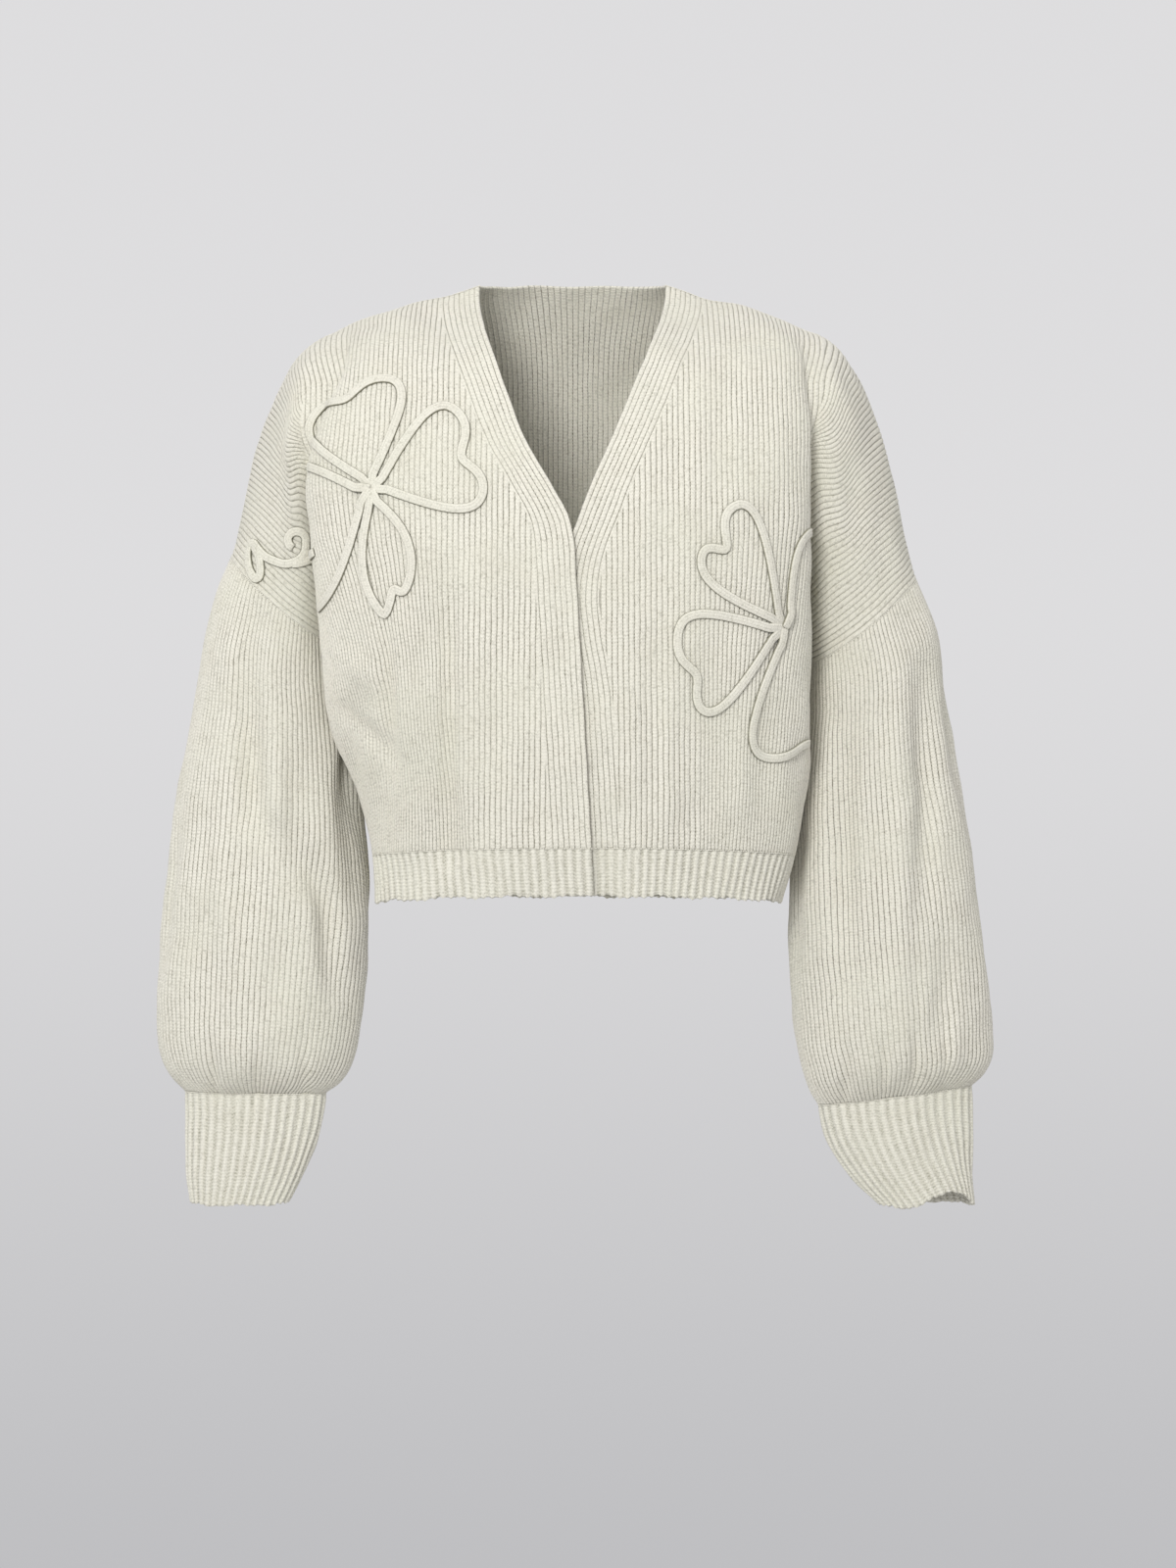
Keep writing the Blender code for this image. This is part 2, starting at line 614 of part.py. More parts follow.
def petal_outline(flower, petal):
    """Petal in the front view, from the flower's middle out and back."""
    heading = math.radians(petal["heading"])
    foot = np.array([flower["x"], flower["z"]]) * MM
    foot = foot + PETAL_FOOT * np.array([math.cos(heading), math.sin(heading)])
    points = []
    for phi in np.sin(np.linspace(-0.5 * math.pi, 0.5 * math.pi, 161)):
        reach = petal["reach"] * MM * math.sqrt(max(0.0, 1 - abs(phi) ** petal["blunt"]))
        reach *= 1 + petal["tilt"] * phi
        dip = (phi - petal["notch_at"]) / petal["notch_wide"]
        reach *= 1 - petal["notch"] * math.exp(-dip * dip)
        if reach > PETAL_OPEN:
            a = heading + math.radians(petal["above"] if phi > 0 else petal["below"]) * phi
            points.append(foot + reach * np.array([math.cos(a), math.sin(a)]))
    return np.array(points)


def curl_outline():
    """The curl in the front view: round its ring, then along its tail."""
    points = []
    for a in np.radians(np.linspace(CURL_RING["from"], CURL_RING["to"], 26)):
        x = CURL_RING["x"] + CURL_RING["radius"] * math.cos(a)
        points.append([x, CURL_RING["z"] + CURL_RING["radius"] * math.sin(a)])
    places = range(len(CURL_TAIL["x"]))
    for place in np.linspace(0, places[-1], 30):
        points.append([smooth(places, CURL_TAIL["x"], place), smooth(places, CURL_TAIL["z"], place)])
    return np.array(points) * MM


def resampled(line, step):
    gaps = np.linalg.norm(np.diff(line, axis=0), axis=1)
    along = np.concatenate([[0], np.cumsum(gaps)])
    count = max(2, int(round(along[-1] / step)) + 1)
    where = np.linspace(0, along[-1], count)
    return np.stack([np.interp(where, along, line[:, k]) for k in range(line.shape[1])], axis=1)


def fold_limit(side, behind):
    """How far out cord shows at each height: to the armhole fold, where that hides it."""
    def limit(z):
        if z > FLOWERS[side]["fold_from"] * MM and not behind:
            return math.inf
        return at_height(BODY, side, z) * MM - FOLD_MARGIN
    return limit


def laid_on(tree, outline, side, limit):
    """Outline seen from the front, dropped onto the cloth, as the runs short of the fold."""
    runs = [[]]
    for x, z in outline:
        if x > limit(z):
            runs.append([])
            continue
        hit, _, _, _ = tree.ray_cast(Vector((SIGN[side] * x, -1.0, z)), Vector((0, 1, 0)))
        runs[-1].append(hit)
    return [np.array(run) for run in runs if len(run) > SHORTEST_RUN]


def cord(tree, line, step):
    """Flattened cord lying on the cloth along a line of points."""
    line = resampled(line, step)
    count = len(line)
    feet = []
    ups = []
    for point, tangent in zip(line, np.gradient(line, axis=0)):
        _, normal, _, _ = tree.find_nearest(Vector(point))
        across = Vector(tangent).cross(normal).normalized()
        pair = [tree.find_nearest(Vector(point) + across * (way * CORD_WIDE / 2))[0] for way in (-1, 1)]
        feet.append(pair)
        ups.append((pair[1] - pair[0]).cross(normal).cross(pair[1] - pair[0]).normalized())
    lifts = [CORD_GAP] * count
    for i in range(count):
        for j in (i, min(i + 1, count - 1)):
            for s in CORD_PROBES:
                spot = sum((feet[k][0].lerp(feet[k][1], s) for k in (i, j)), Vector()) / 2
                near, normal, _, _ = tree.find_nearest(spot)
                short = CORD_GAP - (spot - near).dot(normal)
                for k in (i, j):
                    lifts[k] = max(lifts[k], short / max(0.4, ups[k].dot(normal)))
    mesh = bmesh.new()
    rings = []
    for (left, right), up, lift in zip(feet, ups, lifts):
        inset = (right - left) * CORD_SHOULDER["inset"]
        shoulder = up * CORD_HIGH * CORD_SHOULDER["share"]
        base = up * lift
        ring = [left, right, right - inset + shoulder]
        ring += [(left + right) / 2 + up * CORD_HIGH, left + inset + shoulder]
        rings.append([mesh.verts.new(v + base) for v in ring])
    for low, high in zip(rings, rings[1:]):
        for i in range(len(low)):
            j = (i + 1) % len(low)
            mesh.faces.new([low[i], low[j], high[j], high[i]])
    mesh.faces.new(rings[0][::-1])
    mesh.faces.new(rings[-1])
    bmesh.ops.recalc_face_normals(mesh, faces=mesh.faces)
    return mesh


# --- objects --------------------------------------------------------------------------

def material(slot):
    look = MATERIAL_LOOKS[slot]
    mat = bpy.data.materials.get(slot) or bpy.data.materials.new(slot)
    mat.use_nodes = True
    shader = mat.node_tree.nodes["Principled BSDF"]
    shader.inputs["Base Color"].default_value = look["color"]
    shader.inputs["Roughness"].default_value = look["roughness"]
    shader.inputs["Metallic"].default_value = 0.0
    return mat


def add_object(name, mesh, slot, collection):
    bmesh.ops.triangulate(mesh, faces=mesh.faces)
    data = bpy.data.meshes.new(name)
    mesh.to_mesh(data)
    mesh.free()
    data.materials.append(material(slot))
    data.shade_smooth()
    collection.objects.link(bpy.data.objects.new(name, data))
    print(name, len(data.polygons))
    return data


def outer_tree(data):
    """The finished wall, for laying cord on it."""
    points = [v.co.copy() for v in data.vertices]
    return BVHTree.FromPolygons(points, [tuple(p.vertices) for p in data.polygons])


def main():
    for obj in list(bpy.data.objects):
        bpy.data.objects.remove(obj)
    garment = bpy.data.collections.new("rib_cardigan")
    bpy.context.scene.collection.children.link(garment)

    cloth = make_cloth()
    normals = cloth.normals()
    walls = {}
    for piece in cloth.faces:
        walls[piece] = add_object(piece, piece_wall(cloth, normals, piece), "rib_knit", garment)

    for side in SIGN:
        add_object("hem_rib_front_" + side, band(hem_band(side), False), "rib_trim", garment)
        add_object("cuff_" + side, band(cuff_grid(side), True), "rib_trim", garment)
    add_object("hem_rib_back", band(hem_band_back(), False), "rib_trim", garment)

    for side, flower in FLOWERS.items():
        tree = outer_tree(walls["front_" + side])
        for number, petal in enumerate(flower["petals"], 1):
            limit = fold_limit(side, petal.get("behind"))
            runs = laid_on(tree, petal_outline(flower, petal), side, limit)
            for run, letter in zip(runs, "ab"):
                name = f"petal_{side}_{number}" + (letter if len(runs) > 1 else "")
                add_object(name, cord(tree, run, PETAL_STEP), "applied_cord", garment)
    tree = outer_tree(walls["front_right"])
    for run in laid_on(tree, curl_outline(), "right", lambda z: math.inf):
        add_object("curl_right", cord(tree, run, CURL_STEP), "applied_cord", garment)


main()
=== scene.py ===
import math

import bpy
import bmesh
import numpy as np
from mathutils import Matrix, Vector
from mathutils.bvhtree import BVHTree
from mathutils.kdtree import KDTree


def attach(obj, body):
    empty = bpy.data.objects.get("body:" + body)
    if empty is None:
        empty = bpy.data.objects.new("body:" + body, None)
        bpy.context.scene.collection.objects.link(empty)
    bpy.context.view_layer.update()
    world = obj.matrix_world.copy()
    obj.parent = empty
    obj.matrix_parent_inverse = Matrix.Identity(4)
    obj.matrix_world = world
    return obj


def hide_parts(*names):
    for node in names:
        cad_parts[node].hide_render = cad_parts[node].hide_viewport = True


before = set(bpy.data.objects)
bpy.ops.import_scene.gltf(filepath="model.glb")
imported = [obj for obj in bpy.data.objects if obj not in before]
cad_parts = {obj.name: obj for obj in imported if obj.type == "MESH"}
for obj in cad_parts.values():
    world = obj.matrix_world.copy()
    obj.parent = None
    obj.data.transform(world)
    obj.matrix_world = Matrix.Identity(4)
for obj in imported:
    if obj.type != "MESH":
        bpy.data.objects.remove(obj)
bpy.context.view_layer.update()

mm = 0.001
print("rib-knit cardigan: the frame is loaded")

# Worn, front towards -Y, wearer's right on -X. Lengths in the tables are in millimetres.

knit = {
    "thick": 2.3,          # from the ribs' crests to the inner side
    "proud": 0.25,         # crests stand this far over the solid
    "ribDepth": 1.05,
    "square": 3.5,         # broad crests and narrow grooves
    "pitch": 4.2,          # one rib
    "tuck": 0.09,          # draws the points beside a groove in towards it
    "columnsPerRib": 4,
    "course": 2.6,         # height of a knitted row, for the stitches
    "uneven": 0.16,        # some ribs stand this share lower than others
    "innerDip": 0.45,      # the inner side follows the grooves by this share
    "thinnest": 1.0,
    "seamGap": 0.12,       # pieces stop this far short of a seam
    "seamReach": 6,        # edges nearer than this share a seam
    "seamLevel": 0.55,     # how high the flattened ribs stand at a seam, as a share
    "edgeRound": 0.3,
    "weld": 0.008,
}
levels = {"hemBottom": -482, "hemTop": -446, "crotch": -262, "yoke": -84, "yokeSpan": 96}
hemLift = {"high": 7, "from": 300, "full": 440, "over": 1.2}       # in front, its middle hangs higher
hemTop, hemBottom, crotch, yoke = (levels[name] * mm for name in ("hemTop", "hemBottom", "crotch", "yoke"))
shoulder = (levels["yoke"] + levels["yokeSpan"]) * mm
rowsOf = {"low": 28, "high": 27, "top": 15, "nearSeam": 1.3}
lap = {"drop": 4.8, "reach": 46, "from": 165, "full": 200}

body = {
    "z": (-484, -444, -400, -345, -300, -262, -235, -200, -160, -120, -84),
    "right": (152, 154, 164, 186, 191, 193, 195, 199, 202, 192, 176),
    "left": (162, 173, 180, 182, 182, 182, 182, 182, 182, 182, 178),
    "front": (104, 110, 117, 122, 125, 127, 128, 127, 121, 109, 95),
    "back": (96, 100, 104, 105, 104, 104, 104, 104, 104, 103, 98),
    "frontEdge": (30, 32, 38, 48, 55, 60, 63, 67, 71, 73, 65),
    "backEdge": (34, 38, 46, 55, 59, 62, 63, 65, 67, 68, 64),
}
chestRound = 0.85      # 1 is an ellipse, less is boxier
sideLine = {
    "z": (-484, -444, -400, -345, -300, -262, -235, -200, -160, -120, -84),
    "right": (147, 146, 150, 162, 168, 172, 176, 184, 196, 207, 203),
    "left": (156, 163, 166, 168, 169, 171, 172, 173, 175, 185, 194),
    "turn": (90, 90, 90, 90, 90, 50, 10, 0, 3, 18, 28),
}
sideSwing = {"leave": 1.1, "arrive": 0.6, "least": 6}
foldOpen = {
    "z": (-262, -235, -200, -160, -120, -84),
    "front": (0, 17, 40, 60, 71, 63),
    "back": (0, 17, 38, 54, 62, 56),
}
frontEdge = {
    "z": (-484, -330, -225, -209, -194, -165, -135, -96, -54, -24, 0),
    "right": (-17, -9, -3, -2, 1, 16, 33, 48, 62, 70, 73),
    "left": (8, 0, -7, -2, 4, 15, 28, 44, 59, 69, 73),
}
ridge = {"x": (73, 100, 130, 160, 192), "y": (8, 10, 11, 11, 9), "z": (0, -8, -15, -25, -38)}
ridgeShare = 0.86
backNeck = {"depth": 62, "rise": 8, "share": 0.36}
yokeTurn = {           # how the cloth comes over the shoulder
    "pull": 0.8,           # it runs on this far before it turns
    "steep": (0.1, 0.7),   # by the neck it climbs, further out it lies flatter
    "lean": 0.5,
    "climb": (0.12, 0.6),
    "neck": (0.7, 0.75),   # the back's neck edge draws it in
    "neckLean": (0.5, 0.7),
}

cap = {
    "at": (0.0, 0.14, 0.30, 0.46, 0.62, 0.78, 0.90, 1.0),
    "ring": (180, 155, 128, 103, 78, 50, 25, 0),
    "out": (16, 34, 46, 58, 80, 112, 145, 165),
    "fore": (0, -10, -16, -16, -6, 10, 7, 0),
    "drop": (0, 4, 6, 2, 8, 34, 66, 84),
}
capArrives = {"out": 50, "drop": 150, "over": 150}
capRows = {"high": 7, "top": 4}      # shares of the fold line below and above the yoke

sleeve = {
    "right": {
        "outerX": (267, 284, 293, 302, 310, 316, 321, 324, 324, 321, 314, 304),
        "outerZ": (-214, -262, -314, -360, -406, -452, -500, -545, -582, -605, -621, -631),
        "innerX": (182, 178, 172, 166, 161, 159, 160, 163, 167, 173, 182, 192),
        "innerZ": (-284, -318, -352, -390, -432, -474, -514, -552, -586, -609, -624, -632),
    },
    "left": {
        "outerX": (269, 286, 292, 299, 307, 314, 320, 325, 328, 328, 322, 313),
        "outerZ": (-230, -272, -318, -362, -406, -452, -500, -545, -582, -603, -617, -626),
        "innerX": (181, 179, 176, 173, 171, 170, 170, 172, 175, 180, 185, 191),
        "innerZ": (-300, -334, -366, -402, -440, -480, -518, -556, -592, -616, -632, -642),
    },
    "deep": (56, 58, 58, 57, 56, 55, 54, 52, 49, 44, 34, 24),
    "round": 0.92,
    "armY": 5,
    "seamDip": 8,
    "ribs": 96,
    "rows": 58,
    "nearSeam": 0.03,
}
cuff = {
    "right": {"outerX": 299, "innerX": 222, "z": -718, "wave": 0, "waveAt": 0},
    "left": {"outerX": 315, "innerX": 239, "z": -720, "wave": 13, "waveAt": 60},
    "waveOver": 55,
    "endDeep": 25,
    "drawnIn": 0.25,       # how the cloth leaves the sleeve, and meets the edge
    "fall": 1.15,
    "flare": 1.7,
    "ribs": 36,
    "columnsPerRib": 8,
    "rows": 16,
    "nearSeam": 0.015,
    "ribDepth": 1.5,
    "ragFrom": 0.93,
}
hem = {"ribs": 36, "columnsPerRib": 6, "rows": 8, "nearSeam": 1.2, "ribDepth": 1.4, "ragFrom": 0.8}
band = {"wide": 31, "ribs": 7.5, "columnsPerRib": 4}      # the half rib runs into the panel
trimRidge = 0.72       # how wide the ridges of cuffs and hem are, as a share of the pitch

bodyFolds = {          # each: at, low, high, half width, depth, lean
    "right": ((92, -480, -200, 30, 5.0, 0.03), (138, -470, -270, 22, 5.0, 0.12)),
    "left": ((104, -470, -280, 34, 4.5, 0.00), (150, -440, -300, 20, 3.5, -0.05)),
    "back": ((62, -480, -230, 34, 5.0, 0.04), (132, -470, -190, 26, 6.0, 0.08)),
}
foldFade = {"top": 0.4, "foot": 0.35, "over": 60}

sides = {"right": -1, "left": 1}
fineSteps = {"cap": 161, "seam": 240, "ring": 721, "petal": 321}
fineU = np.linspace(0, 2, 401)      # across a panel, its middle one where the side begins
sideBegins = 200


# Reading the tables, on whole arrays at once

def hermite(start, end, leave, arrive, t):
    return (start * (1 + 2 * t) * (1 - t) ** 2 + leave * t * (1 - t) ** 2
            + end * t * t * (3 - 2 * t) + arrive * t * t * (t - 1))


def curve(xs, ys, x):
    xs = np.asarray(xs, float)
    ys = np.asarray(ys, float)
    x = np.clip(x, xs[0], xs[-1])
    slopes = np.gradient(ys, xs)
    i = np.clip(np.searchsorted(xs, x) - 1, 0, len(xs) - 2)
    h = xs[i + 1] - xs[i]
    return hermite(ys[i], ys[i + 1], slopes[i] * h, slopes[i + 1] * h, (x - xs[i]) / h)


def atHeight(table, column, z):
    return curve(table["z"], table[column], z / mm)


def hump(x, half):
    return np.cos(0.5 * np.pi * np.minimum(1.0, np.abs(x) / half)) ** 2


def ramp(x, low, high):
    t = np.clip((x - low) / (high - low), 0, 1)
    return t * t * (3 - 2 * t)


def vec(x, y, z):
    return np.stack(np.broadcast_arrays(x, y, z), axis=-1).astype(float)


def mixed(a, b, t):
    return a + (b - a) * t


def spread(a, b):
    return np.broadcast_arrays(np.asarray(a, float), np.asarray(b, float))


def lengths(vectors):
    return np.linalg.norm(vectors, axis=-1, keepdims=True)


def mirrored(side):
    return np.array([sides[side], 1, 1])


# The garment's surface: body, drop shoulder, sleeve and cuff

def edgeX(side, z):
    return atHeight(frontEdge, side, z) * mm


def foldDepth(panel, x, z):
    depth = np.zeros(np.broadcast(x, z).shape)
    for at, low, high, half, deep, lean in bodyFolds[panel]:
        low, high = low * mm, high * mm
        middle = at * mm + lean * (z - low)
        foot = mixed(foldFade["foot"], 1, ramp(z, low, low + foldFade["over"] * mm))
        fade = ramp(high - z, 0, foldFade["top"] * (high - low)) * foot
        depth = depth + deep * mm * fade * hump(x - middle, half * mm)
    return depth


def bodyPoints(side, back, u, level):
    # u is 0..1 over the chest or back, 1..2 round its side to the seam or the armhole fold
    u, level = spread(u, level)
    face = "back" if back else "front"
    fore = 1.0 if back else -1.0
    lifted = ramp(-level, hemLift["from"] * mm, hemLift["full"] * mm) * hump(u, hemLift["over"])
    z = level if back else level + hemLift["high"] * mm * lifted
    reach = atHeight(body, side, level) * mm
    flat = atHeight(body, face, level) * mm
    edge = atHeight(body, face + "Edge", level) * mm
    start = np.zeros_like(level) if back else edgeX(side, level)
    first = np.copysign(np.arcsin((np.abs(start) / reach) ** (1 / chestRound)), start)
    a = first + (0.5 * np.pi - first) * np.minimum(u, 1)
    x = np.copysign(reach * np.abs(np.sin(a)) ** chestRound, np.sin(a))
    y = edge + (flat - edge) * np.maximum(0.0, np.cos(a)) ** chestRound
    y = y - foldDepth("back" if back else side, x, z) * (1 - ramp(u, 0.85, 1.0))
    if side == "left" and not back:
        past = np.maximum(0.0, x + edgeX("right", level))
        under = ramp(-z, lap["from"] * mm, lap["full"] * mm)
        y = y - lap["drop"] * mm * hump(past, lap["reach"] * mm) * under
    chest = vec(x, fore * y, z)
    corner = vec(reach, fore * edge, z)
    openY = atHeight(foldOpen, face, level) * mm
    end = vec(atHeight(sideLine, side, level) * mm, sleeve["armY"] * mm + fore * openY, z)
    turn = np.radians(atHeight(sideLine, "turn", level))
    gap = np.linalg.norm(end - corner, axis=-1)
    leave = vec(0.0, -fore * gap * sideSwing["leave"], 0.0)
    long = gap * sideSwing["arrive"] + sideSwing["least"] * mm
    arrive = vec(np.cos(turn) * long, -fore * np.sin(turn) * long, 0.0)
    around = hermite(corner, end, leave, arrive, np.maximum(0, u - 1)[..., None])
    return np.where((u <= 1)[..., None], chest, around)


def topPoints(back, u):
    # the shoulder seam, and on the back the neck edge before it
    u = np.asarray(u, float)
    near, far = ridge["x"][0], ridge["x"][-1]
    ridgeY, neckShare = ridge["y"][0], backNeck["share"]
    share = ridgeShare * ((u - neckShare) / (1 - neckShare) if back else u)
    share = np.where(u <= 1, share, ridgeShare + (1 - ridgeShare) * (u - 1))
    x = near + (far - near) * share
    seam = vec(x, curve(ridge["x"], ridge["y"], x), curve(ridge["x"], ridge["z"], x)) * mm
    if not back:
        return seam
    a = 0.5 * np.pi * np.minimum(1, u / neckShare)
    neck = vec(near * np.sin(a), ridgeY + (backNeck["depth"] - ridgeY) * np.cos(a),
               backNeck["rise"] * np.cos(a))
    return np.where((u < neckShare)[..., None], neck * mm, seam)


def yokePoints(side, back, u, t):
    # from the yoke's level up over the shoulder, t from 0 to 1
    u, t = spread(u, t)
    low = bodyPoints(side, back, u, yoke)
    rise = low - bodyPoints(side, back, u, yoke - 10 * mm)
    rise /= lengths(rise)
    top = topPoints(back, u)
    gap = lengths(top - low)
    steep = 1 - ramp(u, *yokeTurn["steep"])
    flat, climb = yokeTurn["climb"]
    crest = vec(0.0, (-1.0 if back else 1.0) * (1 - yokeTurn["lean"] * steep), flat + climb * steep)
    if back:
        neckShare = backNeck["share"]
        roundNeck = 0.5 * np.pi * np.minimum(1.0, u / neckShare)
        (drawn, until), (lean, leanUntil) = yokeTurn["neck"], yokeTurn["neckLean"]
        crest[..., 0] = -drawn * np.sin(roundNeck) * (1 - ramp(u, 0.9 * neckShare, until))
        crest[..., 1] = -lean - lean * ramp(u, neckShare, leanUntil)
    pull = gap * yokeTurn["pull"]
    return hermite(low, top, rise * pull, crest * pull, t[..., None])


def panelPoints(side, back, u, v):
    # v is the level, and past the yoke it goes on up to the shoulder seam
    u, v = spread(u, v)
    low = bodyPoints(side, back, u, np.minimum(v, yoke))
    high = yokePoints(side, back, u, np.clip((v - yoke) / (levels["yokeSpan"] * mm), 0, 1))
    return np.where((v > yoke + 1e-9)[..., None], high, low)


def ringPoints(side, row, angle):
    # round a sleeve: angle 0 is outermost, 90 the front, 180 under the arm
    rings = sleeve[side]
    rows = range(len(sleeve["deep"]))
    outer = vec(curve(rows, rings["outerX"], row), 0, curve(rows, rings["outerZ"], row))
    inner = vec(curve(rows, rings["innerX"], row), 0, curve(rows, rings["innerZ"], row))
    a = np.radians(angle)
    point = ((outer + inner) / 2 + (outer - inner) / 2 * np.cos(a)[..., None]) * mm
    deep = curve(rows, sleeve["deep"], row) * mm
    point[..., 1] = sleeve["armY"] * mm - deep * np.copysign(np.abs(np.sin(a)) ** sleeve["round"], np.sin(a))
    point[..., 2] -= sleeve["seamDip"] * mm * np.sin(a) ** 2 * np.maximum(0.0, 1 - row / 3)
    return point


def climbAt(v):
    # how far up the armhole fold a level is
    low = (v / mm - levels["crotch"]) / (levels["yoke"] - levels["crotch"])
    top = (v / mm - levels["yoke"]) / levels["yokeSpan"]
    climbed = capRows["high"] * np.clip(low, 0, 1) + capRows["top"] * np.clip(top, 0, 1)
    return climbed / (capRows["high"] + capRows["top"])


def capPoints(side, back, v, t):
    # the drop shoulder, from the armhole fold to the sleeve seam
    v, t = spread(v, t)
    fore = -1.0 if back else 1.0
    climb = climbAt(v)
    start = panelPoints(side, back, 2.0, v)
    end = ringPoints(side, np.zeros_like(v), fore * curve(cap["at"], cap["ring"], climb))
    out, ahead, drop = (curve(cap["at"], cap[name], climb) for name in ("out", "fore", "drop"))
    leave = vec(out, fore * ahead, -drop) * mm
    gap = lengths(end - start)
    arrive = np.array([capArrives["out"], 0.0, -capArrives["drop"]]) * mm
    arrive = arrive * np.minimum(1.0, gap / (capArrives["over"] * mm))
    return hermite(start, end, leave, arrive, t[..., None])


def cuffPoints(side, t, angle):
    t, angle = spread(t, angle)
    shape = cuff[side]
    seam = ringPoints(side, np.full(t.shape, len(sleeve["deep"]) - 1.0), angle)
    a = np.radians(angle)
    middle = (shape["outerX"] + shape["innerX"]) / 2
    half = (shape["outerX"] - shape["innerX"]) / 2
    end = vec((middle + half * np.cos(a)) * mm, 0, shape["z"] * mm)
    end[..., 1] = sleeve["armY"] * mm - cuff["endDeep"] * mm * np.sin(a)
    turned = (angle - shape["waveAt"] + 180) % 360 - 180
    end[..., 2] += shape["wave"] * mm * hump(turned, cuff["waveOver"])
    fall = (seam - end) * np.array([0.0, 0.0, 1.0])
    drawnIn = vec(cuff["drawnIn"] * (end[..., 0] - seam[..., 0]), 0, 0)
    arrive = (end - seam) * np.array([cuff["flare"], 1, 0]) - fall
    return hermite(seam, end, drawnIn - fall * cuff["fall"], arrive, t[..., None])


# Knitted pieces: grids whose columns follow the ribs, welded into one sheet with two sides

def ribRise(phase):
    # 1 on a rib's round back, 0 in the narrow groove at each whole number
    number = np.floor(phase)
    luck = np.modf(np.abs(np.sin(number * 12.99) * 437.6))[0]
    return (1 - np.abs(2 * (phase - number) - 1) ** knit["square"]) * (1 - knit["uneven"] * luck)


def trimRise(phase):
    # the bands' ribs: narrow ridges between wide flat valleys
    return hump(np.abs(2 * (phase - np.floor(phase)) - 1), trimRidge)


def tucked(phase):
    # evenly spaced places across the ribs, closer together at the grooves
    return phase - knit["tuck"] * np.sin(2 * np.pi * phase)


def flattened(rise, fade):
    # ribs pressed flat towards a seam
    return rise * fade + knit["seamLevel"] * (1 - fade)


